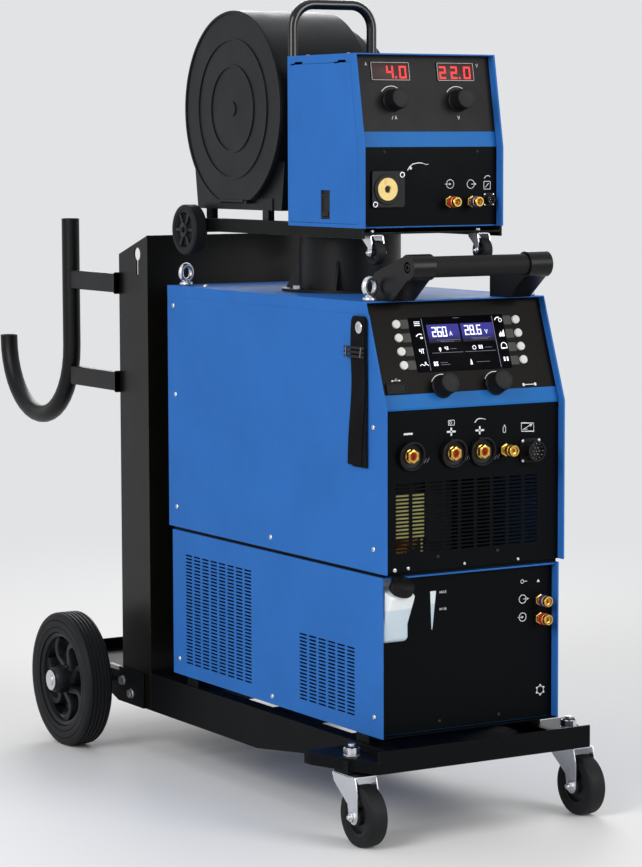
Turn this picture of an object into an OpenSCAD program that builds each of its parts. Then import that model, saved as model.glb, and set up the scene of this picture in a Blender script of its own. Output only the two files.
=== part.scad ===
// MIG welder on a cart: power source over a water cooler, wire feeder on a swivel pedestal,
// and a two-axle cart with a bottle tray, a rear column and a cable hanger.
// Units are millimetres. X runs across, Y runs from the front to the rear, Z is up from the floor.
// Inside the modules Y is counted from the front edge of the power source.

/* [Power source] */
// Width over the side panels
source_w = 350; // [330:5:370]
// Length of the housing
source_len = 735; // [700:5:760]
// Height of the housing
source_h = 435; // [415:5:450]
// Height of the upright part of the front
front_wall_h = 265; // [255:1:275]
// How far the sloped control panel leans back up to the top
front_slope_run = 61.4; // [50:0.2:70]
// Height of the side lips of the top cover
cover_lip = 20; // [10:1:24]
// Thickness of the sheet steel
sheet = 2; // [1.5:0.5:3]
// Width of the hem at the front edges
hem_w = 3; // [2.5:0.5:10]
// Depth of the front panels behind the hem
panel_setback = 15; // [12:1:20]

/* [Controls] */
// Width of the display window
display_w = 184; // [160:2:200]
// Height of the display window
display_h = 92; // [80:2:96]
// Height of the window's lower edge along the slope
display_base = 58; // [54:1:64]
// Diameter of the round keys
key_d = 14; // [12:0.5:16]
// Spacing of the keys in a column
key_pitch = 23; // [20:0.5:24]
// Distance of the key columns from the middle
key_x = 117; // [112:1:122]
// How far a key can be pressed
key_travel = 1.2; // [0.8:0.1:2]
// Diameter of the knobs
knob_d = 35; // [24:1:37]
// Height of the knobs
knob_h = 29; // [16:1:31]
// Distance of the source knobs from the middle
knob_x = 52; // [46:1:58]
// Height of the source knobs along the slope
knob_base = 32; // [28:1:36]

/* [Sockets] */
// Bore of a weld socket
weld_pin_d = 13; // [9:1:14]
// Diameter of the brass contact of a weld socket
weld_contact_d = 23; // [20:1:26]
// Flange diameter of a weld socket
weld_flange_d = 48; // [44:1:50]
// Height of the weld sockets over the base of the source
weld_rise = 188; // [180:1:195]
// Diameter of the quick coupling sleeves
coupling_d = 20; // [18:0.5:22]
// Length of the quick couplings
coupling_len = 30; // [24:1:34]
// Side of the control socket flange
control_flange = 40; // [36:1:42]
// Diameter of the control socket
control_d = 34; // [30:1:35]
// How far the control socket stands out
control_reach = 22; // [10:1:24]
// Height of the control socket over the base of the source
control_rise = 184; // [180:1:190]
// Bore of the central torch socket
torch_bore_d = 10; // [8:1:14]
// Diameter of the central torch socket
torch_socket_d = 38; // [34:1:42]

/* [Vents] */
// Height of a vent slot
slot_h = 3; // [2:0.5:3.5]
// Spacing of the vent slots, one over the other
slot_pitch = 24.4; // [18:0.1:30]
// Solid strip between two columns of slots
slot_strip = 5.5; // [4:0.5:8]

/* [Cooler] */
// Height of the cooler case
cooler_h = 269; // [259:1:279]
// Length of the cooler case
cooler_len = 710; // [700:5:720]
// How far the cooler front stands behind the source front
cooler_front = 14; // [10:1:18]
// Height of the dark joint between the cooler and the source
joint_gap = 6; // [4:0.5:8]
// Height of the feet under the cooler
foot_h = 16; // [12:1:20]
// Diameter of the filler cap
cap_d = 40; // [36:1:42]
// Height of the filler cap
cap_h = 20; // [16:1:22]
// Lean of the filler cap to the front
cap_lean = 30; // [25:1:35]

/* [Pedestal] */
// Outer radius of the pedestal tube
pedestal_r = 88; // [80:1:94]
// Wall of the pedestal tube
pedestal_wall = 5; // [4:0.5:8]
// Radius of the pedestal flange
pedestal_flange_r = 118; // [112:1:122]
// Height of the pedestal
pedestal_h = 105; // [103:1:115]
// Distance of the swivel axis from the source front
swivel_y = 392; // [384:1:396]
// Diameter of the swivel pin
swivel_pin_d = 30; // [24:1:36]

/* [Feeder] */
// Width of the feeder case
feeder_w = 274; // [264:2:280]
// Length of the feeder case
feeder_case_len = 243; // [240:1:246]
// Height of the feeder case
feeder_case_h = 284; // [274:1:294]
// Distance of the feeder front from the source front
feeder_front_y = 126; // [122:1:130]
// Height of the upright part of the feeder front
feeder_wall_h = 131; // [126:1:136]
// How far the sloped feeder panel leans back
feeder_slope_run = 27; // [22:1:32]
// Length of the feeder base from its front to the rear axle
feeder_base_len = 567; // [560:1:575]
// Width of a feeder display
readout_w = 75; // [68:1:80]
// Height of a feeder display
readout_h = 31; // [26:1:33]

/* [Drum] */
// Radius of the spool drum
drum_r = 170; // [166:1:174]
// Length of the drum at its full radius
drum_len = 182; // [176:1:190]
// Distance from the case to the drum
drum_gap = 21; // [20:0.5:26]
// Height of the drum's lowest point over the feeder base
drum_clear = 38; // [36:1:44]
// Diameter of the wire spool
spool_d = 300; // [280:5:304]
// Width of the wire spool
spool_w = 98; // [90:1:103]
// Diameter of the spool's spindle
spindle_d = 50; // [46:1:52]
// Outer diameter of the feeder handle tube
feeder_tube_d = 17.2; // [14:0.1:18]

/* [Cart] */
// Height of the top of the rails
rail_top = 151; // [148:1:156]
// Height of the top of the front platform
deck_top = 141; // [139:1:145]
// Thickness of the cart's steel plate
plate = 4; // [3:0.5:5]
// Half width of the front wall of the platform
platform_half = 208; // [200:1:214]
// Half width over the wings of the platform
wing_half = 260; // [255:1:266]
// Diameter of the rear wheels
rear_wheel_d = 250; // [240:2:260]
// Width of the rear tyres
rear_wheel_w = 50; // [44:1:54]
// Distance of the rear wheels' middle from the cart's middle
rear_wheel_x = 258; // [254:1:264]
// Distance of the rear axle behind the column's face
axle_back = 163; // [155:1:170]
// Diameter of the rear axle
axle_d = 20; // [18:1:24]
// Diameter of the caster wheels
caster_d = 100; // [94:1:104]
// Width of the caster wheels
caster_w = 32; // [28:1:34]
// Trail of the casters
caster_trail = 37; // [33:1:40]
// Distance of the caster stems from the cart's middle
caster_x = 215; // [210:1:220]
// Distance of the caster stems from the source front
caster_y = 41; // [36:1:46]
// Diameter of the caster stems
stem_d = 12; // [10:1:14]

/* [Column] */
// Distance of the rear column behind the source
column_gap = 77; // [65:1:85]
// Depth of the column's side wings
column_depth = 113; // [105:1:120]
// Height of the column's top edge
column_top = 958; // [945:1:965]
// Thickness of the column's sheet
column_sheet = 3; // [2:0.5:4]
// Outer diameter of the hanger tube
hook_tube_d = 33.7; // [30:0.1:36]
// Wall of the hanger tube
hook_wall = 3; // [2:0.5:5]
// Distance of the hanger tube behind the column's face
hook_back = 314; // [290:2:320]
// Radius of the hanger's bend
hook_r = 142; // [130:1:150]
// Height of the middle of the hanger's bend
hook_bend_z = 739; // [720:1:760]
// Height of the open top of the hanger tube
hook_top = 983; // [970:1:995]

/* [Fittings] */
// Outer diameter of the front handle's grip
grip_d = 34; // [30:1:38]
// Outer diameter of the front handle's end sleeves
sleeve_d = 42; // [40:1:46]
// Half width over the front handle
handle_half = 135; // [128:1:140]
// Height of the grip over the top cover
grip_rise = 56; // [52:1:60]
// Outer diameter of the lifting eyes
eye_d = 35; // [32:1:37]
// Thickness of the lifting eyes' rings
eye_wire = 8; // [6:0.5:9]
// Width of the tie strap
strap_w = 45; // [40:1:52]
// Length of the tie strap below its bolt
strap_len = 226; // [200:2:240]

/* [Hidden] */
$fn = 64;

// Clearances
run_gap = 0.05;   // radial play of a running fit
fit_gap = 0.3;    // between pieces that move past each other
seat_gap = 0.2;   // round pieces held in a plain hole

// Heights, each stacked on the one before
cooler_z = rail_top + foot_h;
source_z = cooler_z + cooler_h;
source_top = source_z + source_h;
slope_z = source_z + front_wall_h;
cover_z = source_top - cover_lip;
base_z = source_top + pedestal_h;
case_z = base_z + 10;

// Source: front slope and inner half width
source_half = source_w / 2;
inner_half = source_half - sheet;
hem_inner = source_half - hem_w;
slope_rise = source_top - slope_z;
slope_angle = atan(front_slope_run / slope_rise);
panel_t = 3;

// Cooler
cooler_half = source_half - 1;
cooler_inner = cooler_half - sheet;
cooler_panel_y = cooler_front + 16;
lid_front = cooler_front + 6;
lid_top = source_z - joint_gap;
cooler_rear = cooler_front + cooler_len;

// Feeder
feeder_half = feeder_w / 2;
feeder_inner = feeder_half - sheet;
feeder_rear = feeder_front_y + feeder_case_len;
feeder_setback = 16;
feeder_panel_y = feeder_front_y + feeder_setback;
feeder_slope_z = case_z + feeder_wall_h;
feeder_top = case_z + feeder_case_h;
feeder_slope_angle = atan(feeder_slope_run / (feeder_top - feeder_slope_z));
feeder_axle_y = feeder_front_y + feeder_base_len;
feeder_wheel_d = 90;
feeder_wheel_w = 28;
feeder_wheel_x = 151;
feeder_axle_z = base_z - 5;
feeder_axle_d = 10;
rail_t = 4;
rail_low = base_z - 7;
rail_high = base_z + 16;
feeder_caster_x = 105;
feeder_caster_y = feeder_front_y + 29;
feeder_caster_h = 50;

// Drum
drum_y = feeder_rear + drum_gap + drum_r;
drum_z = base_z + drum_clear + drum_r;
drum_wall = 4;
drum_left = -feeder_half;
drum_lid_t = 3;
drum_flat = drum_z - drum_r + 12;
handle_x = drum_left + drum_len / 2 + 4;
handle_half_span = 78.5;
handle_bend = 40;
handle_top = feeder_top + 97;

// Cart
column_y = source_len + column_gap;
rear_axle_y = column_y + axle_back;
hook_y = column_y + hook_back;
axle_z = rear_wheel_d / 2;
column_half = source_half;
column_rear = column_y + column_depth;
hook_x = -column_half;
hook_mid_y = hook_y + hook_r;
strap_x = -source_half;
strap_bolt_z = source_top - 41;
strap_y = 77.5;

// The whole object stands centred over the origin
front_reach = caster_y - caster_trail - caster_d / 2;
rear_reach = hook_mid_y + hook_r + hook_tube_d / 2;
origin_y = -(front_reach + rear_reach) / 2;

// ---------------------------------------------------------------- shared shapes

module placed() { translate([0, origin_y, 0]) children(); }

// A (Y, Z) outline drawn out along X
module side_profile(x0, x1) {
    translate([x0, 0, 0]) rotate([90, 0, 90]) linear_extrude(x1 - x0) children();
}

// An (X, Z) outline drawn out along Y
module front_profile(y0, y1) {
    translate([0, y1, 0]) rotate([90, 0, 0]) linear_extrude(y1 - y0) children();
}

module x_rod(d, x0, x1) { translate([x0, 0, 0]) rotate([0, 90, 0]) cylinder(d = d, h = x1 - x0); }

module y_rod(d, y0, y1) { translate([0, y1, 0]) rotate([90, 0, 0]) cylinder(d = d, h = y1 - y0); }

// A box from its lowest to its highest corner
module span(low, high) { translate(low) cube(high - low); }

module both_sides() {
    children();
    mirror([1, 0, 0]) children();
}

// A ring of round wire about the X axis
module x_ring(d, wire) {
    rotate([0, 90, 0]) rotate_extrude() translate([(d - wire) / 2, 0]) circle(d = wire);
}

// Lower left corners of a grid of slots
function grid_slots(x0, x1, z0, z1, columns) =
    let (pitch = (x1 - x0 + slot_strip) / columns,
         rows = floor((z1 - z0 - slot_h) / slot_pitch))
    [for (c = [0:columns - 1], r = [0:rows])
        [x0 + c * pitch, z0 + r * slot_pitch, pitch - slot_strip]];

// A rectangle with slots in it
module slotted_sheet(low, high, slots) {
    corners = [low, [high.x, low.y], high, [low.x, high.y]];
    slot_corners = [for (s = slots) each
        [[s.x, s.y], [s.x + s.z, s.y], [s.x + s.z, s.y + slot_h], [s.x, s.y + slot_h]]];
    slot_paths = [for (i = [0:len(slots) - 1]) [for (k = [0:3]) 4 + 4 * i + k]];
    polygon(points = concat(corners, slot_corners), paths = concat([[0, 1, 2, 3]], slot_paths));
}

// Band along the front of a housing's side outline, of the given depth along Y
module front_band(depth) {
    difference() {
        children();
        translate([depth, 0]) children();
    }
}

// Folded hem of a side sheet: a front face and a return to the panel
module hem(outer, width, depth, thickness) {
    side_profile(outer - width, outer) front_band(thickness) children();
    side_profile(outer - width, outer - width + thickness) front_band(depth) children();
}

// Carries its children to a place on the sloped control panel
module on_panel(x, s) {
    translate([0, panel_setback, slope_z]) rotate([90 - slope_angle, 0, 0])
        translate([x, s, 0]) children();
}

// Carries its children to a place on the sloped feeder panel
module on_feeder_panel(x, s) {
    translate([0, feeder_panel_y, feeder_slope_z]) rotate([90 - feeder_slope_angle, 0, 0])
        translate([x, s, 0]) children();
}

// ---------------------------------------------------------------- cart

platform_front = -30;
platform_rear = 116;
wing_y = 94;
rail_in = 30;
rail_rear = column_y;
pad_side = 42;
pad_h = 21;
stem_gap = 0.05;

module rail_outline() {
    polygon([
        [platform_front + plate, deck_top - 20], [130, deck_top - 20], [250, rail_top - 49],
        [418, rail_top - 70], [rail_rear, rail_top - 70],
        [rail_rear, rail_top], [platform_front + plate, rail_top]
    ]);
}

module deck_outline() {
    polygon([
        [-platform_half, platform_front], [platform_half, platform_front],
        [wing_half, wing_y], [wing_half, platform_rear],
        [-wing_half, platform_rear], [-wing_half, wing_y]
    ]);
}

// Deck with turned-down lips and stem holes
module front_deck() {
    difference() {
        union() {
            translate([0, 0, deck_top - plate]) linear_extrude(plate) deck_outline();
            translate([0, 0, deck_top - 20]) linear_extrude(20) difference() {
                deck_outline();
                offset(delta = -plate) deck_outline();
            }
            span([-platform_half, platform_front, deck_top - 11],
                 [platform_half, platform_front + plate, deck_top + 17]);
            both_sides() translate([caster_x - pad_side / 2, caster_y - pad_side / 2,
                deck_top - plate - pad_h]) cube([pad_side, pad_side, pad_h]);
        }
        both_sides() translate([caster_x, caster_y, 0])
            cylinder(d = stem_d + 2 * stem_gap, h = rail_top);
    }
}

module cart_front() {
    both_sides() {
        side_profile(column_half - plate, column_half) rail_outline();
        span([column_half - rail_in, platform_front + plate, rail_top - plate],
             [column_half, rail_rear, rail_top]);
        for (y = [60, 640]) span([column_half - rail_in + 5, y, rail_top - 1],
                                 [column_half - 5, y + 40, cooler_z]);
    }
    for (y = [platform_rear + 14, swivel_y, rail_rear - 60])
        span([-column_half + plate / 2, y, rail_top - 34],
             [column_half - plate / 2, y + 40, rail_top - plate]);
    front_deck();
}

tray_top = 146;
tray_gap = 2.5;
tray_rear = column_y + 298;
tray_lip = 22;
bracket_x = column_half + plate;

// Bottle tray behind the column, with the axle brackets hung from it
module bottle_tray() {
    difference() {
        union() {
            span([-column_half + column_sheet, column_y + column_sheet + tray_gap, tray_top - plate],
                 [column_half - column_sheet, tray_rear, tray_top]);
            span([-bracket_x, column_rear, tray_top - plate], [bracket_x, tray_rear, tray_top]);
            span([-bracket_x, tray_rear - plate, tray_top - plate],
                 [bracket_x, tray_rear, tray_top + tray_lip]);
            both_sides() side_profile(column_half, bracket_x) polygon([
                [column_y + 23, 81], [column_rear + 12, 81], [rear_axle_y + 28, axle_z - 22],
                [rear_axle_y + 28, tray_top], [column_y + 23, tray_top]
            ]);
            both_sides() span([column_half - 12, column_rear, tray_top - 12],
                [bracket_x, column_rear + 60, tray_top]);
        }
        translate([0, rear_axle_y, axle_z]) x_rod(axle_d + 2 * seat_gap, -rear_wheel_x, rear_wheel_x);
    }
}

module stem_nut() {
    translate([caster_x, caster_y, deck_top]) difference() {
        cylinder(d = 24, h = 16, $fn = 6);
        translate([0, 0, -1]) cylinder(d = stem_d + 2 * stem_gap, h = 18);
    }
}

module cart_frame() {
    color("#14181f") placed() {
        cart_front();
        bottle_tray();
        both_sides() stem_nut();
    }
}

keyhole_y = column_y + 40;
keyhole_z = column_top - 35;
keyhole_d = 24;
column_base = 81;

module wing_outline() {
    difference() {
        polygon([
            [column_y, column_base], [column_rear, column_base],
            [column_rear, column_top - 37], [column_y, column_top]
        ]);
        translate([keyhole_y, keyhole_z]) circle(d = keyhole_d);
        translate([keyhole_y - 3.5, keyhole_z - 37]) square([7, 37]);
    }
}

module back_column() {
    color("#14140c") placed() {
        front_profile(column_y, column_y + column_sheet)
            translate([-column_half, column_base])
                square([2 * column_half, column_top - column_base]);
        both_sides() {
            side_profile(column_half - column_sheet, column_half) wing_outline();
            span([column_half - 20, column_rear - column_sheet, tray_top + 4],
                 [column_half, column_rear, column_top - 37]);
        }
    }
}

arm_w = 20;
arm_h = 35;
arm_high = 867;
arm_low = 684;
hook_tip = 6;

// Path of the hanger tube, as a solid of the given diameter
module hook_body(d, spare) {
    translate([hook_x, hook_y, hook_bend_z]) cylinder(d = d, h = hook_top - hook_bend_z + spare);
    translate([hook_x, hook_mid_y + hook_r, hook_bend_z]) cylinder(d = d, h = hook_tip + spare);
    translate([hook_x, hook_mid_y, hook_bend_z]) rotate([180, 0, 0]) rotate([90, 0, 90])
        rotate_extrude(angle = 180) translate([hook_r, 0]) circle(d = d);
}

module cable_hook() {
    color("#15161a") placed() difference() {
        union() {
            hook_body(hook_tube_d, 0);
            for (z = [arm_low, arm_high])
                span([hook_x - arm_w / 2, column_rear, z - arm_h / 2],
                     [hook_x + arm_w / 2, hook_y, z + arm_h / 2]);
        }
        hook_body(hook_tube_d - 2 * hook_wall, 1);
    }
}

hub_end = 299;
hub_start = 228;

module rear_axle() {
    color("#c9ccd0") placed() translate([0, rear_axle_y, axle_z]) {
        x_rod(axle_d, -hub_end - 5, hub_end + 5);
        both_sides() {
            x_rod(axle_d + 8, bracket_x, hub_start - fit_gap);
            difference() {
                x_rod(38, hub_end + fit_gap, hub_end + 3);
                x_rod(axle_d - 1, hub_end, hub_end + 4);
            }
        }
    }
}

rim_r = 88;
rim_t = 6;
spokes = 7;

// Rim, hub and bent spokes, about the X axis, from the inner side at x = 0
module wheel_rim() {
    hub_r = 26;
    hub_len = hub_end - hub_start;
    inset = rear_wheel_x - rear_wheel_w / 2 - hub_start;
    rotate([0, 90, 0]) difference() {
        union() {
            cylinder(r = hub_r, h = hub_len);
            translate([0, 0, inset + 4]) difference() {
                cylinder(r = rim_r, h = rear_wheel_w - 8);
                translate([0, 0, -1]) cylinder(r = rim_r - rim_t, h = rear_wheel_w);
            }
            for (i = [0:spokes - 1]) rotate(i * 360 / spokes)
                translate([0, 0, inset + 12]) linear_extrude(rear_wheel_w - 20) intersection() {
                    translate([rim_r / 2, -24]) difference() {
                        circle(r = 53);
                        circle(r = 43);
                    }
                    translate([hub_r / 2, -8]) square([rim_r - hub_r / 2 - 2, 60]);
                    circle(r = rim_r - 1);
                }
        }
        translate([0, 0, -1]) cylinder(d = axle_d + 2 * run_gap, h = hub_len + 2);
    }
}

// Tyre with rounded shoulders and three tread grooves
module tyre(d, w, bore, groove) {
    r = d / 2;
    shoulder = min(w, d) * 0.16;
    rotate([0, 90, 0]) rotate_extrude($fn = 96) difference() {
        union() {
            translate([bore, 0]) square([r - shoulder - bore, w]);
            translate([r - shoulder, shoulder]) square([shoulder, w - 2 * shoulder]);
            for (z = [shoulder, w - shoulder]) translate([r - shoulder, z]) circle(r = shoulder);
        }
        for (k = [1:3]) translate([r - groove, k * w / 4 - groove / 2])
            square([groove + 1, groove]);
    }
}

module rear_wheel() {
    color("#202126") {
        translate([hub_start, 0, 0]) wheel_rim();
        translate([rear_wheel_x - rear_wheel_w / 2, 0, 0])
            tyre(rear_wheel_d, rear_wheel_w, rim_r + seat_gap, 3);
    }
}

module rear_wheel_left() {
    placed() translate([0, rear_axle_y, axle_z]) mirror([1, 0, 0]) rear_wheel();
}

module rear_wheel_right() {
    placed() translate([0, rear_axle_y, axle_z]) rear_wheel();
}

caster_axle_d = 8;

// Caster fork about its stem; the top face of its crown lies at z = 0 and the wheel is ahead of it
module caster_fork(d, w, trail, drop, stem, stem_h, bolt, t) {
    half = w / 2 + 2.5;
    rear = d * 0.28;
    difference() {
        union() {
            span([-half - t, -trail - d * 0.13, -t * 1.5], [half + t, rear, 0]);
            translate([0, 0, -t]) cylinder(d = stem, h = stem_h + t);
            both_sides() side_profile(half, half + t) {
                polygon([
                    [-trail - d * 0.13, 0], [rear, 0], [rear, -d * 0.16],
                    [-trail + d * 0.11, -drop - d * 0.07], [-trail - d * 0.13, -drop - d * 0.02]
                ]);
                translate([-trail, -drop]) circle(d = d * 0.26);
            }
        }
    }
    translate([0, -trail, -drop]) {
        x_rod(bolt, -half - t - 5, half + t + 5);
        both_sides() translate([half + t, 0, 0]) rotate([0, 90, 0])
            cylinder(d = bolt * 1.9, h = bolt * 0.6, $fn = 6);
    }
}

// Caster wheel about its own axle, with a raised hub
module caster_wheel(d, w, bolt) {
    rim = d * 0.32;
    difference() {
        union() {
            x_rod(2 * rim, -w / 2 + 3, w / 2 - 3);
            x_rod(d * 0.3, -w / 2 - 2, w / 2 + 2);
        }
        x_rod(bolt + 2 * run_gap, -w, w);
        both_sides() rotate([0, 90, 0]) translate([0, 0, w * 0.25]) difference() {
            cylinder(r = rim - 4, h = w);
            cylinder(d = d * 0.34, h = w);
        }
    }
    translate([-w / 2, 0, 0]) tyre(d, w, rim + seat_gap, 0.01);
}

caster_drop = deck_top - plate - pad_h - fit_gap - caster_d / 2;

module placed_fork(x) {
    color("#cfd2d6") placed() translate([x, caster_y, caster_d / 2 + caster_drop])
        caster_fork(caster_d, caster_w, caster_trail, caster_drop, stem_d,
            plate + pad_h + fit_gap + 20, caster_axle_d, 2.5);
}

module placed_caster(x) {
    color("#2a2b2e") placed() translate([x, caster_y - caster_trail, caster_d / 2])
        caster_wheel(caster_d, caster_w, caster_axle_d);
}

module caster_fork_left() { placed_fork(-caster_x); }
module caster_fork_right() { placed_fork(caster_x); }
module caster_wheel_left() { placed_caster(-caster_x); }
module caster_wheel_right() { placed_caster(caster_x); }

// ---------------------------------------------------------------- cooler

spout_x0 = -168;
spout_x1 = -120;
spout_low = cooler_z + 155;
spout_reach = 44;
window_x0 = -72;
window_x1 = -59;
window_z0 = cooler_z + 168;
window_z1 = cooler_z + 231;
coolant_x = 145;
coolant_z = [cooler_z + 198, cooler_z + 167.5];
tail_d = 12;

// Where the cap sits: the middle of the neck's rim, on a plane that leans to the front
cap_x = (spout_x0 + spout_x1) / 2;
cap_y = 6;
cap_z = cooler_z + 241;

module cooler_outline() {
    translate([cooler_front, cooler_z]) square([cooler_len, cooler_h - joint_gap - sheet]);
}

module cooler_case() {
    big_vent = grid_slots(cooler_rear - 286, cooler_rear - 48, cooler_z + 24, cooler_z + 225, 8);
    small_vent = grid_slots(98, 275, cooler_z + 25, cooler_z + 141, 6);
    color("#3e6eb8") placed() {
        both_sides() {
            side_profile(cooler_inner, cooler_half)
                slotted_sheet([cooler_front, cooler_z], [cooler_rear, lid_top - sheet],
                    concat(big_vent, small_vent));
            hem(cooler_half, hem_w, cooler_panel_y - cooler_front, sheet) cooler_outline();
        }
        span([-cooler_inner, cooler_panel_y, cooler_z], [cooler_inner, cooler_rear, cooler_z + sheet]);
        span([-cooler_half + hem_w, cooler_front, cooler_z],
             [cooler_half - hem_w, cooler_panel_y, cooler_z + sheet]);
        span([-cooler_half, lid_front, lid_top - sheet], [cooler_half, cooler_rear, lid_top]);
        span([-cooler_half + hem_w, lid_front, lid_top - 4],
             [cooler_half - hem_w, lid_front + sheet, lid_top]);
    }
}

module cooler_front() {
    color("#0c1016") placed() difference() {
        front_profile(cooler_panel_y, cooler_panel_y + sheet)
            translate([-cooler_inner, cooler_z + sheet])
                square([2 * cooler_inner, cooler_h - joint_gap - 2 * sheet]);
        span([spout_x0 - 1, cooler_panel_y - 1, spout_low - 1],
             [spout_x1 + 1, cooler_panel_y + sheet + 1, cap_z + 18]);
        span([window_x0 - 1, cooler_panel_y - 1, window_z0 - 1],
             [window_x1 + 1, cooler_panel_y + sheet + 1, window_z1 + 1]);
        for (z = coolant_z) translate([coolant_x, cooler_panel_y, z])
            y_rod(tail_d + 2 * seat_gap, -1, sheet + 1);
    }
}

neck_d = 30;
neck_h = 12;

module on_spout() {
    translate([cap_x, cap_y, cap_z]) rotate([cap_lean, 0, 0]) children();
}

// Tank with its filler spout and its level window, hollow behind the neck
module coolant_tank() {
    inside = cooler_panel_y + sheet + 1;
    rim_front = cap_y - 18 * cos(cap_lean);
    rim_low = cap_z - 18 * sin(cap_lean);
    rim_rear = cap_z + (inside + 1 - cap_y) * tan(cap_lean);
    color("#dfe6e8") placed() difference() {
        union() {
            span([spout_x0 - 1, inside, cooler_z + sheet], [window_x1 + 4, 200, cooler_z + 259]);
            side_profile(spout_x0, spout_x1) polygon([
                [inside + 1, spout_low], [cooler_panel_y - 7, spout_low],
                [cooler_panel_y - 11, spout_low + 7], [cooler_panel_y - 11, spout_low + 29],
                [rim_front, rim_low - 3], [rim_front, rim_low], [inside + 1, rim_rear]
            ]);
            span([window_x0, cooler_panel_y + 0.5, window_z0], [window_x1, inside + 1, window_z1]);
            on_spout() translate([0, 0, -2]) cylinder(d = neck_d, h = neck_h + 2);
        }
        on_spout() translate([0, 0, -30]) cylinder(d = neck_d - 6, h = 31 + neck_h);
        span([spout_x0 + 4, inside + 4, cooler_z + 8], [window_x1, 195, cooler_z + 253]);
    }
}

module filler_cap() {
    flutes = 20;
    color("#101114") placed() on_spout() difference() {
        translate([0, 0, fit_gap]) cylinder(d = cap_d, h = cap_h);
        translate([0, 0, -1]) cylinder(d = neck_d + 2 * run_gap, h = neck_h + 3);
        for (i = [0:flutes - 1]) rotate(i * 360 / flutes) translate([cap_d / 2 + 0.8, 0, -1])
            cylinder(d = 4, h = cap_h - 2);
    }
}

fan_hub_d = 60;
fan_shaft_d = 8;
cooler_fan_r = 88;
cooler_fan_z = cooler_z + 130;
cooler_fan_y = cooler_rear - 56;
source_fan_r = 96;
source_fan_z = source_z + 170;
source_fan_y = source_len - 45;

// Fan in the XZ plane that blows along Y, with its hub at the origin
module fan(r) {
    difference() {
        union() {
            y_rod(fan_hub_d, 0, 24);
            intersection() {
                for (i = [0:6]) rotate([0, i * 360 / 7, 0])
                    translate([0, 12, 0]) rotate([0, 0, 38])
                        translate([-17, -1.5, fan_hub_d / 2 - 4]) cube([34, 3, r]);
                y_rod(2 * r, 0, 24);
            }
        }
        y_rod(fan_shaft_d + 2 * run_gap, -1, 25);
    }
}

// Fan carrier: a plate with a round window, four struts, the motor and its shaft
module fan_carrier(low, high, r) {
    mid = 0;
    difference() {
        span([low.x, -46, low.y], [high.x, -42, high.y]);
        y_rod(2 * r, -50, -40);
    }
    for (a = [0:90:270]) rotate([0, a + 45, 0]) span([mid + 20, -46, -7], [r + 6, -42, 7]);
    y_rod(fan_hub_d, -46, -fit_gap);
    y_rod(fan_shaft_d, -1, 26);
}

module radiator() {
    core = [280, 36, 190];
    core_y = 560;
    color("#8d9298") placed() {
        translate([-core.x / 2, core_y, cooler_z + sheet]) cube([core.x, core.y, 24]);
        translate([-core.x / 2, core_y, cooler_z + sheet + 24 + core.z]) cube([core.x, core.y, 24]);
        for (x = [-core.x / 2:20:core.x / 2 - 8]) translate([x, core_y + 6, cooler_z + sheet + 24])
            cube([8, core.y - 12, core.z]);
        translate([0, cooler_fan_y, cooler_fan_z])
            fan_carrier([-150, cooler_z + sheet - cooler_fan_z], [150, 122], cooler_fan_r);
        translate([40, 260, cooler_z + sheet]) {
            cube([110, 150, 8]);
            translate([55, 75, 8]) {
                translate([-30, -60, 0]) cube([60, 100, 20]);
                translate([0, -50, 45]) y_rod(76, 0, 90);
                translate([0, -62, 45]) y_rod(50, 0, 13);
            }
        }
    }
}

module cooler_fan() {
    color("#1b1c20") placed() translate([0, cooler_fan_y, cooler_fan_z]) fan(cooler_fan_r);
}

// ---------------------------------------------------------------- power source

function slope_y(z) = (z - slope_z) * front_slope_run / slope_rise;

module source_outline() {
    polygon([
        [0, source_z], [0, slope_z], [slope_y(cover_z), cover_z],
        [source_len, cover_z], [source_len, source_z]
    ]);
}

eye_x = 155;
eye_y = [80, source_len - 35];
eye_stud_d = 10;
switch_x = -110;
switch_z = source_z + 345;
gland_x = 110;
shaft_d = 6;

module fan_guard(r) {
    for (k = [0.35, 0.6, 0.85]) rotate([90, 0, 0]) rotate_extrude()
        translate([r * k, 0]) circle(d = 3);
    for (a = [0:45:135]) rotate([0, a, 0]) span([-r - 6, -1.5, -1.5], [r + 6, 1.5, 1.5]);
    y_rod(24, -1.5, 1.5);
}

// Floor of the source, roof of the cooler and the two rear panels
module chassis() {
    back = source_len - 2 * sheet;
    color("#0e1218") placed() {
        span([-inner_half, panel_setback, source_z], [inner_half, source_len - sheet, source_z + sheet]);
        difference() {
            front_profile(back, back + sheet) translate([-inner_half, source_z + sheet])
                square([2 * inner_half, source_h - 2 * sheet]);
            translate([0, back, source_fan_z]) y_rod(2 * source_fan_r + 4, -1, sheet + 1);
            translate([switch_x, back, switch_z]) y_rod(shaft_d + 2 * run_gap, -1, sheet + 1);
            translate([gland_x, back, switch_z]) y_rod(20 + 2 * seat_gap, -1, sheet + 1);
        }
        translate([0, back + sheet + 1.5, source_fan_z]) fan_guard(source_fan_r);
        translate([gland_x, back, switch_z]) difference() {
            union() {
                y_rod(20, -14, 24);
                translate([0, -4, 0]) rotate([90, 0, 0]) cylinder(d = 30, h = 4, $fn = 6);
                translate([0, sheet + 6, 0]) rotate([90, 0, 0]) cylinder(d = 30, h = 6, $fn = 6);
            }
            y_rod(13, -15, 25);
        }
        difference() {
            front_profile(cooler_rear - sheet, cooler_rear)
                slotted_sheet([-cooler_inner, cooler_z + sheet], [cooler_inner, lid_top - sheet],
                    grid_slots(-90, 90, cooler_z + 40, cooler_z + 220, 3));
        }
        span([-cooler_half + joint_gap, lid_front + joint_gap, lid_top],
             [cooler_half - joint_gap, cooler_rear - joint_gap, source_z]);
    }
}

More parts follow.
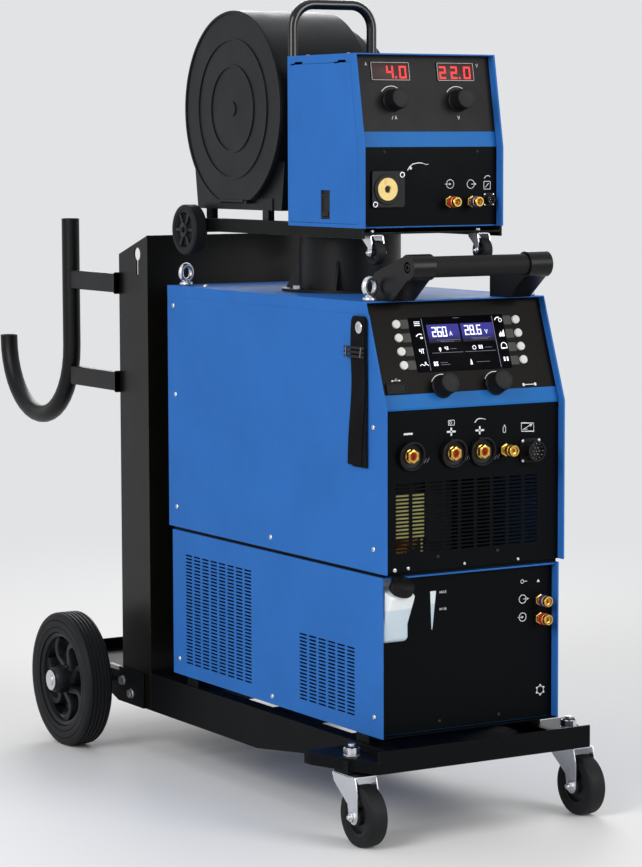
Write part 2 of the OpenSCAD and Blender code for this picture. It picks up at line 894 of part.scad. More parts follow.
module side_panels() {
    color("#3e6eb8") placed() both_sides() {
        side_profile(inner_half, source_half) source_outline();
        hem(source_half, hem_w, panel_setback, sheet) source_outline();
    }
}

module top_cover() {
    color("#3e6eb8") placed() difference() {
        union() {
            span([-source_half, front_slope_run, source_top - sheet],
                 [source_half, source_len, source_top]);
            both_sides() side_profile(inner_half, source_half) polygon([
                [slope_y(cover_z), cover_z], [slope_y(source_top), source_top],
                [source_len, source_top], [source_len, cover_z]
            ]);
            span([-source_half, source_len - sheet, cover_z],
                 [source_half, source_len, source_top]);
        }
        for (y = eye_y) both_sides() translate([eye_x, y, cover_z])
            cylinder(d = eye_stud_d + 2 * seat_gap, h = 2 * cover_lip);
    }
}

weld_x = [-120, -38, 18];
weld_z = source_z + weld_rise;
weld_body_d = 38;
gas_x = 64;
control_x = 115;
control_z = source_z + control_rise;

module source_front() {
    vent = grid_slots(-147, 130, source_z + 31, source_z + 147, 9);
    color("#0c1016") placed() difference() {
        front_profile(panel_setback, panel_setback + sheet)
            slotted_sheet([-inner_half, source_z + sheet], [inner_half, slope_z], vent);
        translate([0, panel_setback, weld_z]) {
            for (x = weld_x) translate([x, 0, 0]) y_rod(weld_body_d + 2 * seat_gap, -1, sheet + 1);
            translate([gas_x, 0, 0]) y_rod(tail_d + 2 * seat_gap, -1, sheet + 1);
        }
        translate([control_x, panel_setback, control_z])
            y_rod(control_d + 2 * seat_gap, -1, sheet + 1);
    }
}

key_s = [for (k = [0:3]) display_base + 13 + k * key_pitch];
panel_run = panel_t / cos(slope_angle);
panel_top = source_top - sheet;
panel_lean = front_slope_run / slope_rise;
port_x = -138;
port_s = 33;

module control_panel() {
    top_y = panel_setback + (panel_top - slope_z) * panel_lean;
    color("#1c1b18") placed() {
        difference() {
            side_profile(-inner_half, inner_half) polygon([
                [panel_setback, slope_z], [panel_setback + panel_run, slope_z],
                [top_y + panel_run, panel_top], [top_y, panel_top]
            ]);
            for (x = [-key_x, key_x], s = key_s) on_panel(x, s) translate([0, 0, -10])
                cylinder(d = key_d + 2 * run_gap, h = 20);
            for (x = [-knob_x, knob_x]) on_panel(x, knob_base) translate([0, 0, -10])
                cylinder(d = shaft_d + 2 * run_gap, h = 20);
        }
        on_panel(-display_w / 2, display_base) cube([display_w, display_h, 1]);
        on_panel(port_x - 21, port_s - 9) cube([42, 18, 2.5]);
    }
}

// Round key with a collar behind the panel
module panel_key(x, s) {
    color("#d2d2cd") placed() on_panel(x, s) {
        translate([0, 0, -panel_t - 3]) cylinder(d = key_d, h = panel_t + 7.5);
        translate([0, 0, -panel_t - 5]) cylinder(d = key_d + 3, h = 2);
    }
}

module key_1() { panel_key(-key_x, key_s[3]); }
module key_2() { panel_key(-key_x, key_s[2]); }
module key_3() { panel_key(-key_x, key_s[1]); }
module key_4() { panel_key(-key_x, key_s[0]); }
module key_5() { panel_key(key_x, key_s[3]); }
module key_6() { panel_key(key_x, key_s[2]); }
module key_7() { panel_key(key_x, key_s[1]); }
module key_8() { panel_key(key_x, key_s[0]); }

// Knob on its shaft, with fine grip grooves and a pointer groove
module knob() {
    grooves = 24;
    color("#191919") {
        difference() {
            translate([0, 0, fit_gap]) union() {
                cylinder(d = knob_d + 3, h = 3);
                cylinder(d = knob_d, h = knob_h);
            }
            for (i = [0:grooves - 1]) rotate(i * 360 / grooves)
                translate([knob_d / 2 + 0.6, 0, 4]) cylinder(d = 2.4, h = knob_h);
        }
        translate([0, 0, -panel_t - 8]) cylinder(d = shaft_d, h = panel_t + 10);
    }
}

module source_knob_left() { placed() on_panel(-knob_x, knob_base) knob(); }
module source_knob_right() { placed() on_panel(knob_x, knob_base) knob(); }

// Insulated flange with a hood, about the Y axis; y = 0 is the panel's face
module weld_flange() {
    color("#17181b") difference() {
        union() {
            y_rod(weld_flange_d, -5, 0);
            y_rod(weld_body_d, -1, 32);
            intersection() {
                y_rod(weld_flange_d, -13, -4);
                translate([-weld_flange_d, -13, 4]) cube([2 * weld_flange_d, 9, weld_flange_d]);
            }
        }
        y_rod(weld_contact_d + 2 * seat_gap, -20, 40);
        y_rod(weld_flange_d - 9, -20, -5);
    }
}

module weld_contact() {
    color("#c9a04a") difference() {
        union() {
            y_rod(weld_contact_d, -12, 34);
            y_rod(weld_contact_d + 9, 32, 38);
        }
        y_rod(weld_pin_d, -13, 25);
    }
}

// Quick coupling about the Y axis, with a nut behind the panel
module quick_coupling(d, length, ring) {
    color("#c9a04a") difference() {
        union() {
            rotate([90, 0, 0]) cylinder(d = d + 3, h = 6, $fn = 6);
            y_rod(d - 5, -length * 0.45, -5);
            y_rod(d, -length, -length * 0.42);
            y_rod(tail_d, -1, 22);
        }
        y_rod(tail_d - 5, -length - 1, 23);
        translate([0, -length * 0.75, 0]) rotate([90, 0, 0]) difference() {
            cylinder(d = d + 2, h = 1.5);
            translate([0, 0, -1]) cylinder(d = d - 1.6, h = 4);
        }
    }
    color("#c9a04a") difference() {
        translate([0, sheet + 6, 0]) rotate([90, 0, 0]) cylinder(d = d, h = 6, $fn = 6);
        y_rod(tail_d + 2 * seat_gap, 0, 20);
    }
    color(ring) difference() {
        y_rod(d + 9, -3, 0);
        rotate([90, 0, 0]) cylinder(d = d + 3 + 2 * seat_gap, h = 8, center = true, $fn = 6);
    }
}

module control_socket(side, d, reach) {
    color("#b9bcc0") difference() {
        union() {
            front_profile(-3, 0) square([side, side], center = true);
            y_rod(d, -reach, 20);
        }
        y_rod(d - 5, -reach - 1, -2);
    }
}

module weld_sockets() {
    placed() {
        translate([0, panel_setback, weld_z]) {
            for (x = weld_x) translate([x, 0, 0]) {
                weld_flange();
                weld_contact();
            }
            translate([gas_x, 0, 0]) quick_coupling(coupling_d - 1, coupling_len, "#c9a04a");
        }
        translate([control_x, panel_setback, control_z])
            control_socket(control_flange, control_d, control_reach);
        translate([coolant_x, cooler_panel_y, 0]) for (i = [0, 1]) translate([0, 0, coolant_z[i]])
            quick_coupling(coupling_d, coupling_len, ["#2d5fc0", "#c03030"][i]);
    }
}

// Choke, transformer, heat sink and board on the floor of the source
module power_unit() {
    floor_z = source_z + sheet;
    color("#b07a3a") placed() translate([0, 0, floor_z]) {
        translate([-118, 92, 42]) difference() {
            union() {
                span([-34, -30, -42], [34, 30, -36]);
                y_rod(80, -28, 28);
            }
            y_rod(34, -30, 30);
        }
        translate([-20, 150, 0]) {
            span([-70, 0, 0], [70, 110, 22]);
            span([-70, 0, 130], [70, 110, 152]);
            for (x = [-70, -11, 48]) span([x, 0, 22], [x + 22, 110, 130]);
            for (x = [-47.7, 11.3]) span([x, -14, 22.3], [x + 36.4, 124, 129.7]);
        }
        translate([-90, 330, 0]) {
            span([0, 0, 0], [180, 220, 10]);
            for (x = [0:12:168]) span([x, 0, 10], [x + 4, 220, 70]);
        }
        translate([120, 150, 0]) span([0, 0, 0], [3, 420, 260]);
    }
    color("#2c2f34") placed() translate([0, source_fan_y, source_fan_z])
        fan_carrier([-130, source_z + sheet - source_fan_z], [130, 130], source_fan_r);
}

module source_fan() {
    color("#1b1c20") placed() translate([0, source_fan_y, source_fan_z]) fan(source_fan_r);
}

module mains_switch() {
    color("#a02828") placed() translate([switch_x, source_len - sheet, switch_z]) {
        y_rod(44, fit_gap, 8);
        span([-7, 8, -22], [7, 22, 22]);
        y_rod(shaft_d, -24, 1);
        y_rod(shaft_d + 12, -24, -sheet - fit_gap);
    }
}

module lifting_eyes() {
    ring_z = source_top + 9 + eye_d / 2;
    color("#c9ccd0") placed() for (x = [-eye_x, eye_x], y = eye_y) translate([x, y, 0]) {
        translate([0, 0, source_top]) cylinder(d = 22, h = 5);
        translate([0, 0, source_top - sheet]) cylinder(d = eye_stud_d, h = sheet + 10);
        translate([0, 0, ring_z]) rotate([0, 0, 90]) x_ring(eye_d, eye_wire);
    }
}

grip_z = source_top + grip_rise;
sleeve_len = 43;
handle_foot = 45;

module front_handle() {
    color("#101013") placed() {
        translate([0, 0, grip_z]) difference() {
            x_rod(grip_d, -handle_half + 4, handle_half - 4);
            x_rod(grip_d - 8, -handle_half, handle_half);
        }
        both_sides() difference() {
            side_profile(handle_half - sleeve_len, handle_half) {
                translate([0, grip_z]) circle(d = sleeve_d);
                polygon([
                    [0, grip_z + sleeve_d / 2], [100, source_top + 44], [100, source_top],
                    [front_slope_run, source_top], [handle_foot, source_top], [0, grip_z - sleeve_d / 2]
                ]);
            }
            translate([0, 0, grip_z]) x_rod(grip_d + 2 * seat_gap, 0, handle_half - 4 + seat_gap);
            translate([0, 0, grip_z]) x_rod(18, handle_half - 5, handle_half + 1);
        }
    }
}

strap_t = 3;
strap_rise = 18;
buckle_z = source_top - 80;

// Doubled webbing as one flat band, hung from its bolt
module tie_strap() {
    placed() translate([strap_x, strap_y, 0]) {
        color("#16171b") translate([0, 0, strap_bolt_z])
            span([-3.5 - strap_t, -strap_w / 2, -strap_len],
                 [-3.5, strap_w / 2, strap_rise]);
        color("#101013") difference() {
            span([-9, -34, buckle_z - 9], [-7.1, 34, buckle_z + 9]);
            span([-11, -27, buckle_z - 5], [-7, 27, buckle_z - 1.5]);
            span([-11, -27, buckle_z + 1.5], [-7, 27, buckle_z + 5]);
        }
        color("#c9ccd0") translate([0, 0, strap_bolt_z]) {
            x_rod(12, -7.6, 0);
            x_rod(21, -11.6, -7.6);
        }
    }
}

gusset_h = 54;
gusset_t = 5;

module pedestal() {
    top = base_z - fit_gap;
    color("#101216") placed() translate([0, swivel_y, 0]) {
        translate([0, 0, source_top]) difference() {
            union() {
                cylinder(r = pedestal_flange_r, h = 5);
                cylinder(r = pedestal_r, h = top - source_top);
                for (a = [45:90:315]) rotate(a) translate([0, gusset_t / 2, 0]) rotate([90, 0, 0])
                    linear_extrude(gusset_t) polygon([
                        [pedestal_r - 2, 4], [pedestal_flange_r - 4, 4],
                        [pedestal_r, gusset_h], [pedestal_r - 2, gusset_h]
                    ]);
            }
            translate([0, 0, -1]) cylinder(r = pedestal_r - pedestal_wall, h = top - source_top - 5);
        }
        translate([0, 0, top - 6]) cylinder(d = swivel_pin_d, h = 40);
    }
}

// ---------------------------------------------------------------- wire feeder

module feeder_outline() {
    polygon([
        [feeder_front_y, case_z], [feeder_front_y, feeder_slope_z],
        [feeder_front_y + feeder_slope_run, feeder_top],
        [feeder_rear, feeder_top], [feeder_rear, case_z]
    ]);
}

// Base plate with C rails, a swivel bush and the rear axle
module feeder_base() {
    front = feeder_front_y + 4;
    rear = feeder_axle_y - 3;
    rail_in = 22;
    color("#121418") placed() {
        difference() {
            union() {
                span([-feeder_half + rail_t, front, base_z], [feeder_half - rail_t, rear, base_z + 3]);
                both_sides() {
                    span([feeder_half - rail_t, front, rail_low], [feeder_half, rear, case_z]);
                    span([feeder_half - rail_t, feeder_rear, rail_low], [feeder_half, rear, rail_high]);
                    span([feeder_half - rail_in, feeder_rear, rail_high - 3],
                         [feeder_half, rear, rail_high]);
                    side_profile(feeder_half - rail_t - 5, feeder_half - rail_t) polygon([
                        [rear - 24, base_z + 2], [rear - 24, rail_low], [feeder_axle_y - 10, feeder_axle_z - 12],
                        [feeder_axle_y + 12, feeder_axle_z - 12], [feeder_axle_y + 16, rail_high],
                        [rear - 24, rail_high]
                    ]);
                }
                translate([0, swivel_y, base_z]) cylinder(d = swivel_pin_d + 16, h = 24);
            }
            translate([0, swivel_y, base_z - 1]) cylinder(d = swivel_pin_d + 2 * run_gap, h = 30);
            both_sides() translate([feeder_caster_x, feeder_caster_y, base_z - 1])
                cylinder(d = 10 + 2 * run_gap, h = 10);
            translate([handle_x - handle_half_span, feeder_rear + drum_gap / 2, rail_high - 4])
                cylinder(d = feeder_tube_d + 2 * seat_gap, h = 5);
        }
        translate([0, feeder_axle_y, feeder_axle_z])
            x_rod(feeder_axle_d, -feeder_wheel_x - 17, feeder_wheel_x + 17);
    }
}

door_low = case_z + 6;
door_high = feeder_top - 14;
door_front = feeder_front_y + feeder_setback + sheet;
door_rear = feeder_rear - 6;
door_gap = 0.6;
hinge_pin_d = 3;
hinge_reach = 3;
door_hinge_x = -feeder_half - hinge_reach;
door_hinge_z = door_high + 1;

module door_outline(gap) {
    lean = feeder_slope_run / (feeder_top - feeder_slope_z);
    polygon([
        [door_front + gap, door_low + gap], [door_front + gap, feeder_slope_z],
        [door_front + gap + (door_high - feeder_slope_z) * lean, door_high - gap],
        [door_rear - gap, door_high - gap], [door_rear - gap, door_low + gap]
    ]);
}

module feeder_case() {
    color("#3e6eb8") placed() {
        difference() {
            union() {
                side_profile(feeder_inner, feeder_half) feeder_outline();
                side_profile(-feeder_half, -feeder_inner) difference() {
                    feeder_outline();
                    door_outline(0);
                }
                both_sides() hem(feeder_half, hem_w, feeder_setback, sheet) feeder_outline();
                span([-feeder_inner - 1, feeder_front_y + feeder_slope_run, feeder_top - sheet],
                     [feeder_inner + 1, feeder_rear, feeder_top]);
                span([-feeder_inner - 1, feeder_rear - sheet, case_z],
                     [feeder_inner + 1, feeder_rear, feeder_top]);
                span([-feeder_inner - 1, feeder_panel_y, case_z],
                     [feeder_inner + 1, feeder_rear, case_z + sheet]);
            }
            translate([-85, feeder_rear, case_z + 63]) y_rod(16, -sheet - 1, 1);
        }
        for (y = [door_front + 50, door_rear - 30]) translate([door_hinge_x, y, door_hinge_z]) {
            y_rod(hinge_pin_d, -12, 24);
            y_rod(5, 13, 24);
            span([0, 13, 0], [hinge_reach, 24, 2.5]);
        }
    }
}

latch_y0 = 233;
latch_y1 = 262;
latch_z0 = case_z + 13;
latch_z1 = case_z + 61;
latch_travel = 6;
latch_x = -feeder_inner + fit_gap;

module feeder_door() {
    color("#3e6eb8") placed() {
        difference() {
            side_profile(-feeder_half, -feeder_inner) door_outline(door_gap);
            span([-feeder_half - 1, latch_y0, latch_z0], [-feeder_inner + 1, latch_y1, latch_z1]);
        }
        for (y = [latch_y0 - 6, latch_y1 + 4])
            span([-feeder_inner, y, latch_z0 + 6], [-feeder_inner + 5, y + 2, latch_z1]);
        for (y = [door_front + 50, door_rear - 30]) translate([door_hinge_x, y, door_hinge_z])
            difference() {
                union() {
                    y_rod(5.4, -12, 12);
                    span([0, -12, -5], [hinge_reach + 0.1, 12, -1.6]);
                }
                y_rod(hinge_pin_d + 2 * run_gap, -13, 13);
            }
    }
}

module door_latch() {
    color("#08090b") placed() {
        span([latch_x, latch_y0 - 3.5, latch_z0 - 5], [latch_x + 3, latch_y1 + 3.5, latch_z1 + 3]);
        span([-feeder_half, latch_y0 + 2, latch_z0 + 5], [latch_x + 1, latch_y1 - 2, latch_z0 + 12]);
    }
}

torch_x = -85;
torch_z = case_z + 63;
feed_coupling_x = [38, 82];
feed_coupling_z = case_z + 41;
remote_x = 117;
remote_z = case_z + 44;
remote_d = 16;
feeder_knob_x = 64;
feeder_knob_s = 77;
readout_s = 110.5;

module feeder_front() {
    lean = feeder_slope_run / (feeder_top - feeder_slope_z);
    high = feeder_top - sheet;
    run = panel_t / cos(feeder_slope_angle);
    top_y = feeder_panel_y + (high - feeder_slope_z) * lean;
    color("#141518") placed() {
        difference() {
            front_profile(feeder_panel_y, feeder_panel_y + sheet)
                translate([-feeder_inner, case_z + sheet])
                    square([2 * feeder_inner, feeder_wall_h - sheet]);
            translate([torch_x, feeder_panel_y, torch_z]) y_rod(30 + 2 * seat_gap, -1, sheet + 1);
            for (x = feed_coupling_x) translate([x, feeder_panel_y, feed_coupling_z])
                y_rod(tail_d + 2 * seat_gap, -1, sheet + 1);
            translate([remote_x, feeder_panel_y, remote_z])
                y_rod(remote_d + 2 * seat_gap, -1, sheet + 1);
        }
        difference() {
            side_profile(-feeder_inner, feeder_inner) polygon([
                [feeder_panel_y, feeder_slope_z], [feeder_panel_y + run, feeder_slope_z],
                [top_y + run, high], [top_y, high]
            ]);
            for (x = [-feeder_knob_x, feeder_knob_x]) on_feeder_panel(x, feeder_knob_s)
                translate([0, 0, -10]) cylinder(d = shaft_d + 2 * run_gap, h = 20);
        }
        for (x = [-feeder_knob_x, feeder_knob_x])
            on_feeder_panel(x - readout_w / 2, readout_s) cube([readout_w, readout_h, 1]);
    }
}

module feeder_knob_left() { placed() on_feeder_panel(-feeder_knob_x, feeder_knob_s) knob(); }
module feeder_knob_right() { placed() on_feeder_panel(feeder_knob_x, feeder_knob_s) knob(); }

module torch_socket() {
    placed() {
        translate([torch_x, feeder_panel_y, torch_z]) {
            color("#17181b") difference() {
                union() {
                    front_profile(-4, 0) translate([-29, -30]) square([64, 60]);
                    y_rod(torch_socket_d + 12, -6, -3);
                    y_rod(30, -1, 18);
                }
                y_rod(torch_socket_d + 2 * seat_gap, -12, -3);
                y_rod(22 + 2 * seat_gap, -4, 20);
            }
            color("#c9a04a") difference() {
                union() {
                    y_rod(torch_socket_d, -7, -3);
                    y_rod(22, -4, 26);
                }
                y_rod(torch_bore_d, -15, 27);
            }
        }
        for (i = [0, 1]) translate([feed_coupling_x[i], feeder_panel_y, feed_coupling_z])
            quick_coupling(coupling_d - 1, coupling_len - 2, ["#c03030", "#2d5fc0"][i]);
        translate([remote_x, feeder_panel_y, remote_z]) control_socket(22, remote_d, 11);
    }
}

drive_x = torch_x - 6;
drive_y = 250;
roll_r = 15;
roll_w = 8;
wire_d = 1.2;
roll_z = torch_z - roll_r - wire_d / 2;
press_z = torch_z + roll_r + wire_d / 2;
arm_y = drive_y + 45;
arm_z = press_z + 6;
roll_shaft_d = 8;
drive_plate_t = 8;

// Drive plate with its motor, standing on the floor of the case
module wire_drive() {
    floor_z = case_z + sheet;
    back = drive_x + roll_w / 2 + 3;
    color("#9a9da2") placed() difference() {
        union() {
            span([back, drive_y - 60, floor_z], [back + drive_plate_t, drive_y + 65, arm_z + 12]);
            span([back, drive_y - 60, floor_z], [back + 60, drive_y + 65, floor_z + 5]);
            translate([0, drive_y, roll_z]) x_rod(54, back + drive_plate_t - 1, back + 120);
            translate([0, arm_y, arm_z]) x_rod(8, back - 14, back + 1);
            translate([0, drive_y, roll_z]) x_rod(roll_shaft_d, back - 12, back + 1);
        }
        translate([back - 1, arm_y + 20, floor_z + 20]) cube([drive_plate_t + 2, 8, 8]);
    }
}

module feed_roll() {
    color("#b8bbbf") placed() translate([drive_x, drive_y, roll_z]) difference() {
        x_rod(2 * roll_r, -roll_w / 2, roll_w / 2);
        x_rod(roll_shaft_d + 2 * run_gap, -roll_w, roll_w);
        for (x = [-2, 2]) translate([x, 0, 0]) rotate([0, 90, 0]) rotate_extrude()
            translate([roll_r, 0]) circle(d = 1.2);
    }
}

module pressure_arm() {
    color("#3a3c40") placed() translate([drive_x, 0, 0]) difference() {
        union() {
            side_profile(-roll_w / 2, roll_w / 2) {
                translate([arm_y, arm_z]) circle(d = 20);
                translate([drive_y, press_z]) circle(r = roll_r);
                polygon([
                    [arm_y, arm_z + 10], [drive_y - 34, arm_z + 10], [drive_y - 34, press_z - 2],
                    [arm_y, arm_z - 10]
                ]);
            }
        }
        translate([0, arm_y, arm_z]) x_rod(8 + 2 * run_gap, -roll_w, roll_w);
    }
}

// Drum profile about its axis: distance along the axis from the lid, and radius
drum_steps = [
    [0, drum_r], [drum_len, drum_r], [drum_len + 18, drum_r - 27], [drum_len + 39, drum_r - 27],
    [drum_len + 53, drum_r - 42], [drum_len + 71, drum_r - 42], [drum_len + 79, drum_r - 57]
];
drum_end = drum_len + 79;
drum_start = drum_lid_t + fit_gap;

module about_drum() { translate([drum_left, drum_y, drum_z]) rotate([0, 90, 0]) children(); }

module drum_solid(start, shrink) {
    about_drum() rotate_extrude($fn = 96) polygon(concat(
        [[0, start]],
        [for (p = drum_steps) [p.y - shrink, max(p.x - shrink, start)]],
        [[0, drum_end - shrink]]
    ));
}

foot_low = rail_high + 17;
lid_hinge_x = drum_left;
lid_hinge_z = drum_flat - 2;

module drum_housing() {
    color("#15181e") placed() {
        difference() {
            union() {
                intersection() {
                    drum_solid(drum_start, 0);
                    span([-300, 0, drum_flat], [300, drum_y + 300, drum_z + 300]);
                }
                difference() {
                    side_profile(drum_left + 12, drum_left + drum_len - 6) polygon([
                        [drum_y - drum_r + 22, foot_low], [drum_y + drum_r - 22, foot_low],
                        [drum_y + drum_r - 10, foot_low + 84], [drum_y - drum_r + 10, foot_low + 84]
                    ]);
                    about_drum() cylinder(r = drum_r - 2, h = drum_len);
                }
                span([drum_left + 10, drum_y - drum_r + 50, foot_low],
                     [feeder_half - 6, drum_y + drum_r - 50, drum_flat + 4]);
            }
            intersection() {
                drum_solid(drum_start - 1, drum_wall);
                span([-300, 0, drum_flat + 4], [300, drum_y + 300, drum_z + 300]);
            }
        }
        for (x = [-feeder_half + 8, feeder_half - 20], y = [drum_y - 110, drum_y + 90])
            span([x, y, rail_high], [x + 12, y + 20, foot_low + 1]);
        about_drum() {
            translate([0, 0, 6]) cylinder(d = spindle_d, h = drum_end - 8);
            translate([0, 0, 5]) cylinder(d = spindle_d + 12, h = 4);
            translate([0, 0, 10 + spool_w]) cylinder(d = spindle_d + 24, h = 6);
        }
        translate([lid_hinge_x, drum_y, lid_hinge_z]) {
            y_rod(hinge_pin_d, -50, 50);
            for (y = [-50, 42]) span([-1.5, y, -4], [14, y + 8, 1.5]);
        }
    }
}

module drum_lid() {
    color("#15181e") placed() {
        difference() {
            union() {
                about_drum() {
                    cylinder(r = drum_r, h = drum_lid_t);
                    for (r = [drum_r - 1, drum_r * 0.72, drum_r * 0.45]) difference() {
                        translate([0, 0, -2]) cylinder(r = r, h = 3);
                        translate([0, 0, -3]) cylinder(r = r - 4, h = 5);
                    }
                    translate([0, 0, -2]) cylinder(d = 26, h = 3);
                }
            }
            span([-300, 0, 0], [300, drum_y + 300, drum_flat + 0.5]);
        }
        translate([lid_hinge_x, drum_y, lid_hinge_z]) difference() {
            union() {
                y_rod(6, -40, 40);
                span([-0.5, -40, 0], [2.6, 40, 4]);
            }
            y_rod(hinge_pin_d + 2 * run_gap, -41, 41);
        }
    }
}

module wire_spool() {
    core_d = 190;
    fill_d = 262;
    color("#8a5a3c") placed() about_drum() translate([0, 0, 9 + fit_gap]) difference() {
        union() {
            cylinder(d = spool_d, h = 4);
            translate([0, 0, spool_w - 4]) cylinder(d = spool_d, h = 4);
            translate([0, 0, 3]) cylinder(d = fill_d, h = spool_w - 6);
        }
        translate([0, 0, -1]) cylinder(d = spindle_d + 2 * run_gap, h = spool_w + 2);
        for (i = [0:5]) rotate(i * 60) translate([62, 0, -1]) cylinder(d = 34, h = spool_w + 2);
        translate([0, 0, -1]) difference() {
            cylinder(d = core_d - 8, h = 2);
            cylinder(d = core_d - 12, h = 2);
        }
    }
}

// Bent tube that stands between the case and the drum
module feeder_handle() {
    mid_y = feeder_rear + drum_gap / 2;
    low = base_z + 3;
    leg_top = handle_top - feeder_tube_d / 2 - handle_bend;
    color("#0c0d10") placed() translate([handle_x, mid_y, 0]) difference() {
        union() {
            both_sides() {
                translate([handle_half_span, 0, low]) cylinder(d = feeder_tube_d, h = leg_top - low);
                translate([handle_half_span - handle_bend, 0, leg_top]) rotate([90, 0, 0])
                    rotate_extrude(angle = 90) translate([handle_bend, 0]) circle(d = feeder_tube_d);
            }
            translate([0, 0, leg_top + handle_bend])
                x_rod(feeder_tube_d, -handle_half_span + handle_bend, handle_half_span - handle_bend);
        }
    }
}

// Small wheel on the feeder's rear axle
module feeder_wheel(side) {
    color("#1d1e22") placed() translate([side * feeder_wheel_x, feeder_axle_y, feeder_axle_z]) {
        difference() {
            union() {
                x_rod(feeder_wheel_d - 22, -feeder_wheel_w / 2 + 3, feeder_wheel_w / 2 - 3);
                x_rod(26, -feeder_wheel_w / 2 + fit_gap, feeder_wheel_w / 2);
            }
            x_rod(feeder_axle_d + 2 * run_gap, -feeder_wheel_w, feeder_wheel_w);
        }
        translate([-feeder_wheel_w / 2 + 1, 0, 0])
            tyre(feeder_wheel_d, feeder_wheel_w - 2, feeder_wheel_d / 2 - 11 + seat_gap, 0.01);
    }
}

module feeder_wheel_left() { feeder_wheel(-1); }
module feeder_wheel_right() { feeder_wheel(1); }

small_d = 40;
small_w = 16;
small_trail = 15;
small_drop = feeder_caster_h - small_d / 2 - fit_gap;

module feeder_fork(side) {
    color("#cfd2d6") placed()
        translate([side * feeder_caster_x, feeder_caster_y, base_z - fit_gap])
            caster_fork(small_d, small_w, small_trail, small_drop, 10, 3 + fit_gap + 3, 5, 2);
}

module feeder_caster(side) {
    color("#2a2b2e") placed()
        translate([side * feeder_caster_x, feeder_caster_y - small_trail, base_z - fit_gap - small_drop])
            caster_wheel(small_d, small_w, 5);
}

module feeder_fork_left() { feeder_fork(-1); }
module feeder_fork_right() { feeder_fork(1); }
module feeder_caster_left() { feeder_caster(-1); }
module feeder_caster_right() { feeder_caster(1); }

// ---------------------------------------------------------------- nodes

cart_frame();
back_column();
cable_hook();
rear_axle();
rear_wheel_left();
rear_wheel_right();
caster_fork_left();
caster_fork_right();
caster_wheel_left();
caster_wheel_right();
cooler_case();
cooler_front();
coolant_tank();
filler_cap();
radiator();
cooler_fan();
chassis();
side_panels();
top_cover();
source_front();
control_panel();
source_knob_left();
source_knob_right();
key_1();
key_2();
key_3();
key_4();
key_5();
key_6();
key_7();
key_8();
weld_sockets();
power_unit();
source_fan();
mains_switch();
lifting_eyes();
front_handle();
tie_strap();
pedestal();
feeder_base();
feeder_case();
feeder_door();
door_latch();
feeder_front();
feeder_knob_left();
feeder_knob_right();
torch_socket();
wire_drive();
feed_roll();
pressure_arm();
drum_housing();
drum_lid();
wire_spool();
feeder_handle();
feeder_wheel_left();
feeder_wheel_right();
feeder_fork_left();
feeder_fork_right();
feeder_caster_left();
feeder_caster_right();
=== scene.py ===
"""Looks of a welding set on its cart: a power source over a water cooler, a wire feeder on a
swivel pedestal, and a cart with a bottle column and a cable hanger. Places are in millimetres,
X from the middle, Y from the front edge of the power source and Z from the floor."""
from math import atan2, cos, hypot, pi, radians, sin, tau

import bmesh
import bpy
from mathutils import Matrix, Vector


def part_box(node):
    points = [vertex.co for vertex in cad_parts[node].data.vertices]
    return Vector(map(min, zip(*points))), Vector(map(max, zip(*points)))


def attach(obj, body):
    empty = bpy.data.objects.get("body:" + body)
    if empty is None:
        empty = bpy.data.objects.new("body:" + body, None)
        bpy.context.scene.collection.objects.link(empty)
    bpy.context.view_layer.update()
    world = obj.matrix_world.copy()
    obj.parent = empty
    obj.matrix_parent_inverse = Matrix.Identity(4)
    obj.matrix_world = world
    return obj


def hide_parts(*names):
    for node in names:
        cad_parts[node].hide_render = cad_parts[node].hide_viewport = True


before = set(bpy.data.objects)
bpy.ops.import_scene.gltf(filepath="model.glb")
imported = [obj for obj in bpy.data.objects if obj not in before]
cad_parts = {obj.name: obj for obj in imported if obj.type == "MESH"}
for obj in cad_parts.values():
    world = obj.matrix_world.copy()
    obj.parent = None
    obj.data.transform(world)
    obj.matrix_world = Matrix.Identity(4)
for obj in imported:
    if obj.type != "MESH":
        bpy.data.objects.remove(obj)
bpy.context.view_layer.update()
scene = bpy.context.scene

# ------------------------------------------------------------------ viewpoint
# The set is seen from its left front, from the height of the feeder, at about five metres, with
# a long lens, so that its upright edges stay nearly parallel.
source_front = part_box("side_panels")[0].y * 1000


def at(x, y, z):
    """A place on the set, in millimetres, as a point of the row frame."""
    return Vector((x, y + source_front, z)) / 1000


yaw, pitch, roll = radians(31.052), radians(5.746), radians(-0.187)
ahead = Vector((sin(yaw) * cos(pitch), cos(yaw) * cos(pitch), -sin(pitch)))
level = Vector((cos(yaw), -sin(yaw), 0))
upward = level.cross(ahead)
right = level * cos(roll) + upward * sin(roll)
camera = bpy.data.objects.new("camera", bpy.data.cameras.new("camera"))
camera.data.lens = 120.46
camera.data.sensor_width = 36
camera.data.clip_end = 60
camera.matrix_world = Matrix((right, right.cross(ahead), -ahead)).transposed().to_4x4()
camera.matrix_world.translation = at(-2631.3, -3879.1, 1126.9)
scene.collection.objects.link(camera)
scene.camera = camera
scene.view_settings.view_transform = "Standard"

# ------------------------------------------------------------------ room
# A pale studio floor without walls, lit by a soft sky and four softboxes, so that every finish
# shows about as it was painted.


def srgb(red, green, blue):
    """A paint colour from its display values, 0 to 255, as linear light."""
    values = [v / 255 for v in (red, green, blue)]
    return [v / 12.92 if v <= 0.04045 else ((v + 0.055) / 1.055) ** 2.4 for v in values] + [1]


def node(tree, kind, values=None, **settings):
    """Adds a shader node with its settings, and with numbers or other sockets on its inputs."""
    made = tree.nodes.new("ShaderNode" + kind)
    for name, setting in settings.items():
        setattr(made, name, setting)
    for name, value in (values or {}).items():
        if isinstance(value, bpy.types.NodeSocket):
            tree.links.new(value, made.inputs[name])
        else:
            made.inputs[name].default_value = value
    return made


